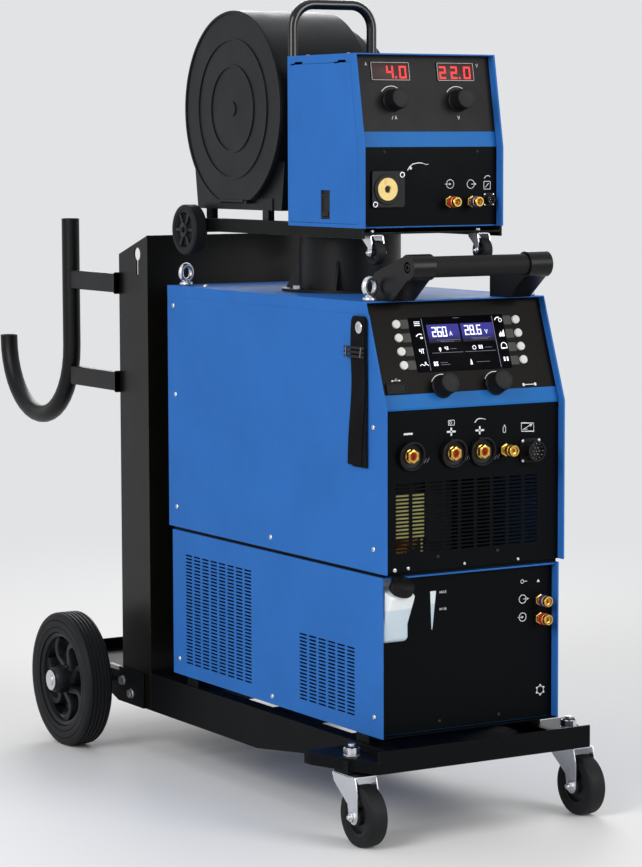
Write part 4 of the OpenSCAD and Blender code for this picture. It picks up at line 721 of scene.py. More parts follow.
def knob(name, place, node_name):
    """Skirt, fluted body and a slightly dished cap on a shaft."""
    shape = bmesh.new()
    count = 144
    rings = [ring(3, -10, count), ring(3, 0.35, count), ring(18.6, 0.35, count),
             ring(19, 1, count), ring(18.9, 2.6, count), ring(17.9, 3.4, count),
             fluted(17.5, 4.8, 36, 0.8, count), fluted(17, 26.6, 36, 0.8, count),
             fluted(16.5, 28.2, 36, 0.4, count), ring(15.4, 29, count), ring(13.6, 28.9, count),
             ring(13, 28.3, count), ring(1, 28.1, count)]
    skin(shape, rings, place)
    piece(name, shape, knob_black, node_name, node_name)


for side, u in (("left", -52), ("right", 52)):
    knob(f"panel_knob_{side}", on_panel @ Matrix.Translation((u, 32, 0)), f"source_knob_{side}")

# ------------------------------------------------------------------ weld sockets
# Three bayonet sockets in round holes of the front sheet: an insulating moulding with a raised
# hood round a brass contact.
brass = finish("brass", (205, 166, 84), 0.28, grain=500, height=0.006, shift=0.08, gloss=0.12,
               Metallic=1.0)
copper_bore = finish("copper_bore", (206, 112, 54), 0.6, grain=500, height=0.006, Metallic=0.3)
moulded_black = finish("moulded_black", (10, 10, 11), 0.42, grain=1100, height=0.01)


def hood(radius, z, rise=3.5, count=60):
    """A ring that stands higher at its top than at its bottom."""
    return [(u, v, z + rise * v / radius) for u, v, _ in ring(radius, 0, count)]


sockets, contacts = bmesh.new(), bmesh.new()
for x in weld_x:
    place = stand(x, front_y, weld_z, FRONT)
    skin(sockets, [ring(11.8, -31, 60), ring(19, -31, 60), ring(19, 0.1, 60), ring(24, 0.1, 60),
                   hood(24, 8.4), hood(23.4, 9.2), hood(20.8, 9.2), hood(20, 8.2),
                   ring(19.4, 4.2, 60), ring(13, 3.6, 60), ring(11.8, 3.4, 60)],
         place, joined=True)
    around = 36
    faces = turned(contacts, place,
                   [(1, 1), (6.2, 1), (6.5, 11.3), (7.2, 12), (9.2, 12), (9.9, 11.4, 6),
                    (9.9, 5, 6), (11.5, 4.6), (11.5, -33), (1, -33)], around)
    for face in faces[:2 * around] + [faces[-2]]:
        face.material_index = 1
piece("weld_socket_bodies", sockets, moulded_black, "cart", "weld_sockets")
piece("weld_contacts", contacts, [brass, copper_bore], "cart")

# ------------------------------------------------------------------ quick couplings
# Brass couplings for shielding gas and coolant, screwed through the sheets and held by nuts.
# The coolant couplings carry a blue and a red band.


def coupling(shape, place, d, length):
    """Hexagon, neck, knurled sleeve and bore, with the tail and its nut behind the sheet."""
    flat = 0.866 * (d + 3) / 2
    r = d / 2
    count = 96
    rings = [ring(2.6, -21, count), ring(6, -21, count), ring(6, -8.2, count),
             ring(r * 0.86, -8, count, 6), ring(r * 0.86, -2.2, count, 6), ring(6, -2.1, count),
             ring(6, 0.2, count), ring(flat - 0.4, 0.2, count, 6), ring(flat, 0.9, count, 6),
             ring(flat, 5.3, count, 6), ring(flat - 0.9, 6, count, 6),
             ring(r - 2.6, 6.2, count), ring(r - 2.6, length * 0.4, count),
             ring(r - 0.8, length * 0.42, count), fluted(r, length * 0.46, 24, 0.7, count),
             fluted(r, length * 0.68, 24, 0.7, count), ring(r - 1.2, length * 0.71, count),
             ring(r - 1.2, length * 0.76, count), ring(r - 0.1, length * 0.79, count),
             ring(r - 0.1, length - 1, count), ring(r - 1, length, count),
             ring(r - 2.8, length, count), ring(r - 3.6, length - 3, count),
             ring(3.4, length - 4, count), ring(2.6, length - 9, count)]
    skin(shape, rings, place)


def band(shape, place, d, low, high, slot=0):
    """A thin coloured ring round a coupling."""
    r = d / 2
    rows = [(r - 2, low), (r + 0.5, low), (r + 0.9, low + 0.4), (r + 0.9, high - 0.4),
            (r + 0.5, high), (r - 2, high)]
    skin(shape, [ring(p, z, 48) for p, z in rows], place, slot, joined=True)


coolant_x, coolant_z = 145, (365, 334.5)
couplings = bmesh.new()
coupling(couplings, stand(gas_x, front_y, weld_z, FRONT), 19, 30)
for z in coolant_z:
    coupling(couplings, stand(coolant_x, cooler_face, z + 1.5, FRONT), 18, 29)
piece("quick_couplings", couplings, brass, "cart")
band_blue = finish("band_blue", (44, 48, 118), 0.4, grain=800)
band_red = finish("band_red", (176, 34, 36), 0.4, grain=800)
bands = bmesh.new()
for z, slot in zip(coolant_z, (0, 1)):
    band(bands, stand(coolant_x, cooler_face, z + 1.5, FRONT), 18, 12.4, 19.6, slot)
piece("coolant_bands", bands, [band_blue, band_red], "cart")

# ------------------------------------------------------------------ control socket
# A round many-pin socket for the control lead, with plated pins in a black insert. Its cast
# square flange is held to the front sheet by bright screws.


def pin_socket(body, pins, place, half, d, rows, reach):
    """Flange, collar and insert of a round socket, with its pins."""
    count = 48
    skin(body, [[(u, v, z) for u, v in rounded_box(-h, -h, h, h, half * 0.22)]
                for z, h in ((0.1, half), (2.4, half), (3, half - 0.6))], place)
    r = d / 2
    inner = r - 2.6
    rings = [ring(r - 0.5, 2.9, count), ring(r, 3.2, count), ring(r, 7, count),
             ring(r - 0.7, 7.3, count), ring(r - 0.7, 8.6, count), ring(r, 8.9, count),
             ring(r, reach - 0.6, count), ring(r - 0.6, reach, count), ring(inner, reach, count),
             ring(inner - 0.3, reach - 0.5, count), ring(inner - 0.3, reach - 7.4, count),
             ring(1, reach - 7.4, count)]
    skin(body, rings, place)
    skin(body, [ring(r, -18, count), ring(r, 0.5, count)], place)
    pitch = (inner - 1.6) / rows
    contact = [(0.9, reach - 8), (0.9, reach - 3.6), (0.5, reach - 3)]
    turned(pins, place, contact, 8)
    for k in range(1, rows + 1):
        for i in range(6 * k):
            angle = tau * i / (6 * k)
            spot = Matrix.Translation((pitch * k * cos(angle), pitch * k * sin(angle), 0))
            turned(pins, place @ spot, contact, 8)


control_body, control_pins = bmesh.new(), bmesh.new()
control_place = stand(control_x, front_y, control_z, FRONT)
pin_socket(control_body, control_pins, control_place, 20, 34, 2, 22)
for u, v in ((-16.2, 16.2), (16.2, 16.2), (-16.2, -16.2), (16.2, -16.2)):
    pan_head(control_pins, control_place @ Matrix.Translation((u, v, 3)), 5.6)
piece("control_socket", control_body, moulded_black, "cart")
piece("control_socket_pins", control_pins, bright_zinc, "cart")

# ------------------------------------------------------------------ front print
# Small white marks, screen-printed over the sockets as on any welding source: poles, wire feed,
# gas and locking.
source_print = bmesh.new()
on_front = stand(0, front_y, 0, FRONT)
MARK = (0.02, 0.16)


def plus(shape, place, u, v, size, weight, minus=False):
    mark(shape, [(u - size, v), (u + size, v)], weight, place, MARK)
    if not minus:
        mark(shape, [(u, v - 0.78 * size), (u, v + 0.78 * size)], weight, place, MARK)


def lock_mark(shape, place, u, v):
    """Three short slanting strokes that show which way the plug locks."""
    for k in (-1, 0, 1):
        mark(shape, [(u + 5.6 * k - 2.4, v - 3.6 + k), (u + 5.6 * k + 2.4, v + 3.6 + k)], 1.0,
             place, MARK)


plus(source_print, on_front, -123.4, 659.7, 8.5, 3.2, True)
plus(source_print, on_front, -40.6, 659, 8.5, 3)
plus(source_print, on_front, 15.1, 658.3, 8.5, 3)
dim_print = bmesh.new()
for u, v in ((-90.9, 614.3), (-8.8, 614.8), (46.7, 612.4)):
    lock_mark(dim_print, on_front, u, v)
print_dim = finish("print_dim", (118, 120, 122), 0.5, grain=1500, height=0.002)
piece("lock_marks", dim_print, print_dim, "cart")
for u, v in ((-36.4, 643.8), (20.5, 642.4)):
    mark(source_print, [(u - 3.5, v), (u, v + 2), (u + 3.5, v)], 0.8, on_front, MARK)
mark(source_print, rounded_box(-46, 669.5, -34.5, 677.5, 1), 0.9, on_front, MARK, closed=True)
mark(source_print, arc(-42, 673.5, 2.2, 0, 360, 10)[:-1], 0.8, on_front, MARK, closed=True)
mark(source_print, [(5, 671.4), (9, 675.6), (13, 677.6), (19, 677.4)], 1.5, on_front, MARK)
mark(source_print, [(19, 677.4), (27, 675.6)], 0.8, on_front, MARK)
mark(source_print, rounded_box(61.2, 652, 66.2, 662, 2), 0.9, on_front, MARK, closed=True)
slab(source_print, box_outline(63, 661, 65, 664.8), *MARK, on_front)
mark(source_print, [(97.5, 666), (122.3, 664.6), (122.4, 651), (97.6, 652.3)], 1, on_front, MARK,
     closed=True)
mark(source_print, [(100, 654.5), (117, 662.3)], 1, on_front, MARK)
slab(source_print, [(120, 663.5), (113.5, 663.3), (116, 658.6)], *MARK, on_front)
mark(source_print, [(104, 655.2), (110, 655)], 0.8, on_front, MARK)
piece("socket_marks", source_print, print_white, "cart")

# ------------------------------------------------------------------ cooler case
# Two hemmed side sheets with fields of punched cooling slots, over a floor tray and under a thin
# lid, powder-coated blue. A dark block fills the gap under the source as painted shade.


def block(shape, low, high):
    """A box between two corners, in millimetres of the set."""
    x0, y0, z0 = low
    x1, y1, z1 = high
    skin(shape, [[(x0, y0, z), (x1, y0, z), (x1, y1, z), (x0, y1, z)] for z in (z0, z1)],
         Matrix.Translation(at(0, 0, 0)) @ Matrix.Scale(0.001, 4))


def flank(side, x):
    """Local frame of a side sheet: u runs along the set, v is the height."""
    return stand(side * x, 0, 0, (side, 0, 0), (0, side, 0))


cooler_low, cooler_high, cooler_start, cooler_end = 167, 430, 14, 724
tray_top, lid_low, source_low = 169, 428, 436
for side, word in ((-1, "left"), (1, "right")):
    slots = []
    for y0, y1, v0, columns, rows in ((438, 676, 191, 8, 33), (98, 275, 192, 6, 19)):
        slots += vent(*sorted((side * y0, side * y1)), v0, columns, rows)
    u0, u1 = sorted((side * cooler_start, side * cooler_end))
    piece(f"cooler_sheet_{word}",
          punched(box_outline(u0, cooler_low, u1, cooler_high), slots, 2, flank(side, cooler_half)),
          shell_blue, "cart", "cooler_case" if side < 0 else ())
cooler_trim = bmesh.new()
for side in (-1, 1):
    x0, x1 = sorted((side * 171, side * 172.2))
    block(cooler_trim, (x0, cooler_start, cooler_low), (x1, cooler_face, lid_low))
block(cooler_trim, (-172, cooler_face, cooler_low), (172, cooler_end, tray_top))
block(cooler_trim, (-173.9, 20, lid_low), (173.9, cooler_end, cooler_high))
block(cooler_trim, (-171, 20, 425.6), (171, 22, cooler_high))
piece("cooler_trim", cooler_trim, shell_blue, "cart", bevel=0.4)
# Painted shade: a dark block fills the gap between the cooler's lid and the source, and a dark strip
# lies on the floor in front of the cooler's front sheet.
cooler_joint_shade = bmesh.new()
block(cooler_joint_shade, (-171, cooler_start, cooler_low), (171, cooler_face, tray_top))
block(cooler_joint_shade, (-170, 22, cooler_high), (173.4, 722, source_low))
piece("cooler_joint_painted_shade", cooler_joint_shade, panel_black, "cart", bevel=0.3)
# Painted shade: thin black sheets just inside the slot fields darken the slots.
slot_shade_sheets = bmesh.new()
for side in (-1, 1):
    for y0, y1, z1 in ((430, 684, 400), (90, 283, 318)):
        x0, x1 = sorted((side * 168, side * 168.8))
        block(slot_shade_sheets, (x0, y0, 184), (x1, y1, z1))
piece("cooler_slot_painted_shade", slot_shade_sheets, panel_black, "cart")

# ------------------------------------------------------------------ cooler front
# A black coated sheet, folded in behind the sides, with openings for the filler spout, the level
# window and the couplings, and white printed marks.
window_hole = [(-68.6, 335.2), (-66.6, 335.2), (-59.4, 397.6), (-60.2, 398.4), (-70.4, 398.4),
               (-71.2, 397.6)]
front_holes = [box_outline(-169, 321, -119, 426), window_hole]
front_holes += [disc_outline(coolant_x, z, 6.2) for z in coolant_z]
piece("cooler_front_sheet",
      punched(box_outline(-171.8, 169.2, 171.8, 427.8), front_holes, 2,
              stand(0, cooler_face, 0, FRONT)),
      panel_black, "cart", "cooler_front")
cooler_print = bmesh.new()
on_cooler = stand(0, cooler_face, 0, FRONT)
digit_place = (on_cooler, *MARK)
for text, u, v in (("MAX", -52.5, 393.6), ("MIN", -52.5, 365.6)):
    for sign in text:
        letter(cooler_print, sign, u, v, 3.8, 0.85, *digit_place)
        u += 4.7
for v, inward in ((370.2, False), (340, True)):
    mark(cooler_print, arc(112, v, 7, 0, 360, 24)[:-1], 1.1, on_cooler, MARK, closed=True)
    tail, tip = (102, 114) if inward else (113, 124.5)
    mark(cooler_print, [(tail, v), (tip - 2.5, v)], 1, on_cooler, MARK)
    slab(cooler_print, [(tip, v), (tip - 4, v + 2.3), (tip - 4, v - 2.3)], *MARK, on_cooler)
mark(cooler_print, arc(111, 399.7, 3, 0, 360, 12)[:-1], 0.9, on_cooler, MARK, closed=True)
mark(cooler_print, [(114, 399.7), (121, 399.7)], 1, on_cooler, MARK)
slab(cooler_print, [(140.5, 396.5), (146.3, 396.5), (143.4, 401.6)], *MARK, on_cooler)
mark(cooler_print, arc(148.3, 213.9, 6.6, 0, 360, 24)[:-1], 1.1, on_cooler, MARK, closed=True)
for k in range(6):
    c, s = cos(tau * (k + 0.5) / 6), sin(tau * (k + 0.5) / 6)
    slab(cooler_print, disc_outline(148.3 + 8 * c, 213.9 + 8 * s, 1.7, 10), *MARK, on_cooler)
piece("cooler_marks", cooler_print, print_white, "cart")

# ------------------------------------------------------------------ coolant tank
# A blow-moulded tank of milky plastic. Its filler spout leans out through the front sheet, and a
# narrow face behind the tapered opening shows the level. The coolant tints its lower part.
tank_milky, tree, output = new_material("tank_milky")
place = node(tree, "TexCoord").outputs["Object"]
height = node(tree, "SeparateXYZ", {0: place}).outputs["Z"]
ripple = node(tree, "TexNoise", {"Vector": place, "Scale": 40, "Detail": 2})
level_line = node(tree, "Math", {0: ripple.outputs[0], 1: 0.004, 2: height},
                  operation="MULTIPLY_ADD")
level_low, level_high = 0.3775, 0.3805
filled = node(tree, "MapRange", {"Value": level_line.outputs[0], "From Min": level_low,
                                 "From Max": level_high})
milky = mixed(tree, filled.outputs["Result"], srgb(192, 208, 218), srgb(222, 228, 230))
cloudy = node(tree, "Group", {"Scale": 20, "Low": 0.3, "High": 0.42}, node_tree=uneven)
texture = node(tree, "Group", {"Scale": 500, "Height": 0.00002, "Soft Edge": 0.0006},
               node_tree=fine_grain)
surface = node(tree, "BsdfPrincipled", {
    "Base Color": milky, "Roughness": cloudy.outputs[0], "Normal": texture.outputs[0],
    "Subsurface Weight": 0.35, "Subsurface Scale": 0.006})
tree.links.new(surface.outputs["BSDF"], output.inputs["Surface"])
set_place = Matrix.Translation(at(0, 0, 0)) @ Matrix.Scale(0.001, 4)
tank = bmesh.new()
skin(tank, [[(u, v, z) for u, v in rounded_box(-163 + i, 33 + i, -55 - i, 200 - i, 8)]
            for z, i in ((169.2, 5), (171, 1.5), (175, 0), (418, 0), (424, 1.5), (426, 5))],
     set_place)


def spout_ring(z, x0, x1, front, inset=0.0, lean_up=0.0):
    """A level or leaning ring of the spout, between its front face and the tank."""
    return [(u, v, z + lean_up * (v - front)) for u, v in
            rounded_box(x0 + inset, front + inset, x1 - inset, 36, 5)]


skin(tank, [spout_ring(322.4, -167, -121, 22, 3), spout_ring(324.4, -167.6, -120.4, 20.4, 1),
            spout_ring(329, -168, -120, 19), spout_ring(351, -168, -120, 19),
            spout_ring(394, -168, -120, -1.4), spout_ring(398, -168, -120, -2.4, 0, 0.28),
            spout_ring(400, -168, -120, -2.4, 1, 0.32),
            spout_ring(400.6, -168, -120, -2.4, 4, 0.32)], set_place)
skin(tank, [[(u, v, z) for u, v in window_outline] for z, window_outline in
            ((-3, box_outline(-72.5, 334.5, -58.5, 398.9)),
             (-0.7, box_outline(-72, 335, -59, 398.4)))], on_cooler)
spout_top = stand(-144, 6, 408, (0, -sin(radians(30)), cos(radians(30))))
turned(tank, spout_top, [(12, -8), (15, -8), (15, 11), (14.4, 11.6), (12.2, 11.6), (12, -6)], 40)
piece("coolant_tank_shell", tank, tank_milky, "cart", "coolant_tank", smooth=50)

# ------------------------------------------------------------------ filler cap
# A black moulded screw cap on the spout's neck: a fluted skirt, a plain rim and a domed top.
# It is hollow below, with room for the thread.
cap = bmesh.new()
count = 160
rings = [ring(15.1, 0.4, count), ring(19.6, 0.4, count), ring(20, 1, count), ring(20, 2.6, count),
         fluted(19.8, 3.2, 20, 1.5, count), fluted(19.6, 15.6, 20, 1.5, count),
         ring(19.2, 16.4, count), ring(16.6, 17.6, count), ring(12, 19, count),
         ring(6, 19.8, count), ring(1, 20, count)]
skin(cap, rings, spout_top, ends=(False, True))
skin(cap, [ring(15.1, 0.4, count), ring(15.1, 13, count), ring(1, 13, count)], spout_top,
     ends=(False, True))
bmesh.ops.remove_doubles(cap, verts=cap.verts, dist=1e-6)
piece("filler_cap_body", cap, moulded_black, "filler_cap", "filler_cap")

# ------------------------------------------------------------------ lifting eyes
# Four forged and zinc-plated eye bolts, each with a collar, are screwed through the top cover
# into the frame.


def sweep(shape, points, r, place, sides=12, closed=False):
    """A round bar along points."""
    path = [Vector(p) for p in points]
    last = len(path) - 1
    frames = []
    along = (path[1] - path[0]).normalized()
    hint = Vector((0, 0, 1)) if abs(along.z) < 0.9 else Vector((1, 0, 0))
    side = (hint - along * along.dot(hint)).normalized()
    for k, point in enumerate(path):
        before = path[k - 1] if k or closed else path[0]
        after = path[(k + 1) % len(path)] if k < last or closed else path[last]
        along = (after - before).normalized()
        side = (side - along * along.dot(side)).normalized()
        frames.append((point, side, along.cross(side)))
    rings = []
    for point, a, b in frames:
        rings.append([point + a * (r * cos(tau * i / sides)) + b * (r * sin(tau * i / sides))
                      for i in range(sides)])
    skin(shape, rings, place, joined=closed)


eye_x, eye_y = 155, (80, 700)
eyes = bmesh.new()
for x in (-eye_x, eye_x):
    for y in eye_y:
        foot = stand(x, y, source_top, TOP) @ Matrix.Rotation(radians(18), 4, "Z")
        turned(eyes, foot, [(4.8, -1.9), (4.8, 0.05), (11.4, 0.05), (11.8, 0.5), (11.8, 5),
                            (10.8, 6.4), (7.4, 7), (6.4, 9)], 32)
        loop = [(13.5 * cos(tau * k / 32), 0, 23 + 13.5 * sin(tau * k / 32)) for k in range(32)]
        sweep(eyes, loop, 4.6, foot, 14, closed=True)
piece("lifting_eye_bolts", eyes, bright_zinc, "cart", "lifting_eyes", smooth=50)

# ------------------------------------------------------------------ front handle
# A thick grip of black plastic tube between two cast end sleeves on brackets, with a recessed
# bolt in each end.
handle_black = finish("handle_black", (10, 10, 11), 0.34, grain=900, height=0.006, wear=0.15,
                      worn=(56, 56, 60))
grip_z = 927
piece("front_handle_brackets", cad_shape("front_handle"), handle_black, "cart",
      "front_handle", bevel=1.6)
grip = bmesh.new()
turned(grip, stand(0, 0, grip_z, RIGHT, (0, 1, 0)),
       [(17.05, -92.5), (17.3, -91.5), (17.3, -86), (17.05, -85), (17.05, 85), (17.3, 86),
        (17.3, 91.5), (17.05, 92.5)], 48)
piece("handle_grip", grip, rubber_black, "cart")
handle_bolts = bmesh.new()
for side in (-1, 1):
    place = stand(side * 130.6, 0, grip_z, (side, 0, 0), (0, side, 0))
    turned(handle_bolts, place, [(8.6, -0.6), (8.6, 0.2), (6.4, 0.3), (6.4, 3.4), (5.8, 4), (3.4, 4, 6),
                                 (3.2, 1.2, 6)], 30)
piece("handle_bolts", handle_bolts, handle_black, "cart")

# ------------------------------------------------------------------ pedestal
# A welded steel tube with a flange and gussets carries the feeder's swivel pin. Four bolts hold
# it on the cover, and it is powder-coated black.
paint_black = finish("paint_black", (9, 10, 12), 0.4, grain=700, height=0.014, wear=0.3,
                     worn=(74, 76, 80))
piece("feeder_pedestal", cad_shape("pedestal"), paint_black, "cart", "pedestal",
      bevel=0.8)
pedestal_bolts = bmesh.new()
for k in range(4):
    a = pi / 2 * k
    place = stand(106 * cos(a), 392 + 106 * sin(a), source_top + 5, TOP)
    turned(pedestal_bolts, place, [(8, -0.2), (8.2, 0.2), (8.2, 1.4), (6.5, 1.5, 6), (6.5, 6, 6),
                                   (5.6, 6.8, 6)], 24)
piece("pedestal_bolts", pedestal_bolts, bright_zinc, "cart")

# ------------------------------------------------------------------ feeder base
# A bent base plate with C-shaped side rails of coated steel carries the feeder. Its rear axle
# is a plain rod through both rails.
rail_black = finish("rail_black", (7, 8, 9), 0.42, grain=600, height=0.01, wear=0.25,
                    worn=(168, 170, 174), wear_width=1.2, Specular_IOR_Level=0.08)
piece("feeder_base_rails", cad_shape("feeder_base"), rail_black, "feeder",
      "feeder_base", bevel=0.6)

# ------------------------------------------------------------------ feeder case and door
# Folded steel sheets in the same blue. The left side is a door hinged along its top, and a
# sliding latch of black plastic holds it shut.
feeder_half, feeder_face = 137, 142
for name, made, body in (("feeder_case", "feeder_sheets", "feeder"),
                         ("feeder_door", "feeder_side_door", "feeder_door")):
    shape = cad_shape(name)
    for vert in shape.verts:
        vert.co.x = max(vert.co.x, -feeder_half / 1000)
    bmesh.ops.dissolve_degenerate(shape, dist=1e-6, edges=shape.edges)
    shape.normal_update()
    # Painted shade: faces of the right side's inner return and of the floor lip, in front of the front
    # sheet, take the black paint.
    for face in shape.faces:
        middle = face.calc_center_median()
        painted_shade_return = middle.x > 0.13 and face.normal.x < -0.9
        painted_shade_floor_lip = middle.z < 0.99 and abs(middle.x) < 0.1335
        if middle.y < at(0, feeder_face, 0).y and (painted_shade_return or painted_shade_floor_lip):
            face.material_index = 1
    piece(made, shape, [shell_blue, panel_black], body, name, bevel=0.7)
latch = bmesh.new()
on_left = stand(-feeder_half, 0, 0, LEFT, (0, -1, 0))
slab(latch, box_outline(-265.5, 994, -229.5, 1050), -5.3, -2.4, on_left)
skin(latch, [[(u, v, z) for u, v in rounded_box(-261.6 + i, 999.4 + i, -233.4 - i, 1040.4 - i, 3)]
             for z, i in ((-2.6, 0), (-1, 0), (-0.4, 0.6), (-0.4, 3), (-1.8, 4), (-1.8, 6))],
     on_left)
slab(latch, rounded_box(-257, 1004, -238, 1011, 2), -1.9, 0, on_left)
piece("door_latch_plate", latch, moulded_black, "door_latch", "door_latch",
      bevel=0.3)
feeder_screws = bmesh.new()
for side in (-1, 1):
    for y in (200, 330):
        pan_head(feeder_screws, stand(side * 120, y, 1270, TOP), 7)
for y, z in ((146, 1004), (146, 1100), (350, 1004), (350, 1240)):
    pan_head(feeder_screws, stand(feeder_half, y, z, RIGHT, (0, 1, 0)), 7)
piece("feeder_screws", feeder_screws, dark_zinc, "feeder")

# ------------------------------------------------------------------ feeder front
# A black sheet-metal front with a leaning upper panel under a printed membrane: two red
# readings, two knobs and a bare blue stripe.
feeder_lean = atan2(27, 153)
feeder_out = (0, -cos(feeder_lean), sin(feeder_lean))
feeder_break = 1117
on_feeder = stand(0, feeder_face, feeder_break, feeder_out)
on_feeder_front = stand(0, feeder_face, 0, FRONT)
feeder_plate_dark = finish("feeder_plate_dark", (24, 22, 22), 0.42, grain=1500, height=0.004,
                           Specular_IOR_Level=0.12)
piece("feeder_front_sheet", cad_shape("feeder_front"), panel_black, "feeder",
      "feeder_front", bevel=0.5)
feeder_membrane = bmesh.new()
slab(feeder_membrane, rounded_box(-133, 26, 133, 156, 1), -0.1, 0.35, on_feeder)
piece("feeder_membrane", feeder_membrane, feeder_plate_dark, "feeder")
feeder_stripe = bmesh.new()
slab(feeder_stripe, box_outline(-133, 0.6, 133, 26), -0.1, 0.4, on_feeder)
piece("feeder_stripe", feeder_stripe, stripe_blue, "feeder", bevel=0.1)

readout_dark = finish("readout_dark", (62, 46, 43), 0.4, grain=800, height=0.004, shift=0.1,
                      Specular_IOR_Level=0.12)
frame_pale = finish("frame_pale", (176, 176, 172), 0.4, grain=1200, height=0.003)
readouts, readout_frames = bmesh.new(), bmesh.new()
for u0, u1 in ((-99.5, -26.5), (29.5, 100.5)):
    skin(readouts, [[(u, v, z) for u, v in rounded_box(u0 + i, 111.5 + i, u1 - i, 140.5 - i, 1.5)]
                    for z, i in ((0.3, 0), (1.2, 0), (1.4, 0.3))], on_feeder)
    stroke(readout_frames, rounded_box(u0, 111.5, u1, 140.5, 1.5), 0.9, 1.5, on_feeder, 0.4,
           closed=True)
piece("feeder_readouts", readouts, readout_dark, "feeder")
piece("readout_frames", readout_frames, frame_pale, "feeder")
digit_red = glow("digit_red", (224, 60, 62), 0.9)
red_digits = bmesh.new()
RED = (1.4, 1.75)
digits(red_digits, "4", -71, 114, 21, 13.5, 3.2, on_feeder, *RED)
slab(red_digits, box_outline(-54.6, 114, -51.4, 117.2), *RED, on_feeder)
digits(red_digits, "0", -46.5, 114, 21, 14, 3.2, on_feeder, *RED)
digits(red_digits, "2", 32.5, 114, 21, 13, 3.2, on_feeder, *RED)
digits(red_digits, "2", 55, 114, 21, 13, 3.2, on_feeder, *RED)
slab(red_digits, box_outline(70.6, 114, 73.8, 117.2), *RED, on_feeder)
digits(red_digits, "0", 80.5, 114, 21, 14, 3.2, on_feeder, *RED)
piece("feeder_digits", red_digits, digit_red, "feeder")

for side, word in ((-1, "left"), (1, "right")):
    knob(f"feeder_dial_{word}", on_feeder @ Matrix.Translation((side * 64, 77, 0)),
         f"feeder_knob_{word}")

feeder_print = bmesh.new()
letter(feeder_print, "A", -110.5, 135, 5.4, 0.8, on_feeder, *HIGH)
letter(feeder_print, "V", 107.5, 134.5, 5.4, 0.8, on_feeder, *HIGH)
letter(feeder_print, "V", 61.5, 46.5, 5.4, 0.8, on_feeder, *HIGH)
letter(feeder_print, "A", -62, 46.5, 5.4, 0.8, on_feeder, *HIGH)
mark(feeder_print, [(-68, 46), (-65.4, 52)], 0.8, on_feeder, HIGH)
for u in (-64, 64):
    mark(feeder_print, arc(u, 77, 24.5, 55, 142, 16), 1.1, on_feeder, HIGH)
mark(feeder_print, [(-43, 1079.5), (-38, 1086), (-32.5, 1089.8), (-20, 1091.8), (-13, 1090.8)],
     1.5, on_feeder_front, MARK)
mark(feeder_print, [(-13, 1090.8), (-6, 1088.6), (-2, 1089.4)], 0.8, on_feeder_front, MARK)
slab(feeder_print, disc_outline(-36.6, 1083, 2.4, 12), *MARK, on_feeder_front)
for u, v, inward in ((41.1, 1056.3, True), (82.1, 1055.8, False)):
    mark(feeder_print, arc(u, v, 7.2, 0, 360, 20)[:-1], 0.9, on_feeder_front, MARK, closed=True)
    tail, tip = (u - 10.5, u + 2) if inward else (u + 1, u + 11.5)
    mark(feeder_print, [(tail, v), (tip - 2.5, v)], 0.9, on_feeder_front, MARK)
    slab(feeder_print, [(tip, v), (tip - 3.6, v + 2), (tip - 3.6, v - 2)], *MARK, on_feeder_front)
mark(feeder_print, rounded_box(108.5, 1047, 121.5, 1060, 1), 0.9, on_feeder_front, MARK,
     closed=True)
mark(feeder_print, [(111.5, 1050), (118.5, 1057)], 0.9, on_feeder_front, MARK)
mark(feeder_print, [(109, 1065), (113, 1069), (118, 1069.6), (121, 1067.6)], 1.1, on_feeder_front,
     MARK)
piece("feeder_marks", feeder_print, print_white, "feeder")

# ------------------------------------------------------------------ torch socket
# The central socket for the torch: a moulded flange, screwed to the front, round a turned brass
# face with a wide bore and contacts.
torch_x, torch_z = -85, 1049
torch_place = stand(torch_x, feeder_face, torch_z, FRONT)
torch_body = bmesh.new()
skin(torch_body, [[(u, v, z) for u, v in rounded_box(-29 + i, -30 + i, 35 - i, 30 - i, 4)]
                  for z, i in ((0.1, 0), (3.4, 0), (4, 0.6))], torch_place)
skin(torch_body, [ring(r, z, 60) for r, z in
                  ((11.4, -18), (15, -18), (15, 3.6), (24.4, 3.6), (25, 4), (25, 5.4), (24.4, 6),
                   (19.3, 6), (19.3, 4), (11.4, 4))], torch_place, joined=True)
piece("torch_flange", torch_body, moulded_black, "feeder", "torch_socket")
torch_brass = bmesh.new()
skin(torch_brass, [ring(r, z, 60) for r, z in
                   ((5, 5), (5, -24), (11, -24), (11, 4), (19, 4), (19, 6.4), (18.4, 7),
                    (6.4, 7), (5.6, 6.4))], torch_place, joined=True)
pale_brass = finish("pale_brass", (204, 180, 116), 0.45, grain=500, height=0.006, Metallic=0.6)
piece("torch_contact", torch_brass, pale_brass, "feeder")
# Painted shade: black discs in the bore, on the brass face where its holes are, and in the screw heads'
# recesses.
torch_hole_shade = bmesh.new()
turned(torch_hole_shade, torch_place, [(1, 2), (4.95, 2), (4.95, 3), (1, 3)], 24)
for u, v, r in ((-5, 11, 2.6), (-11.5, 3, 1.2), (-11.5, -3, 1.2)):
    turned(torch_hole_shade, torch_place @ Matrix.Translation((u, v, 0)),
           [(r, 6.6), (r, 7.06), (r * 0.9, 7.1), (r * 0.84, 6.9)], 16)
torch_screws = bmesh.new()
for u, v in ((28.5, 23.5), (-23.5, -24.5)):
    place = torch_place @ Matrix.Translation((u, v, 4))
    turned(torch_screws, place, [(5, -0.4), (5, 1.4), (4.6, 2), (3.4, 2), (3, 1), (1, 0.9)], 24)
    turned(torch_hole_shade, place, [(0.8, 0.8), (2.9, 0.8), (2.9, 1.25), (0.8, 1.25)], 16)
piece("torch_screws", torch_screws, bright_zinc, "feeder")
piece("torch_painted_hole_shade", torch_hole_shade, moulded_black, "feeder")
seam_screws = bmesh.new()
for u, z in ((-87.7, 1109.6), (95.2, 1109.7)):
    pan_head(seam_screws, stand(u, feeder_face, z, FRONT), 5)
piece("feeder_front_screws", seam_screws, black_zinc, "feeder")

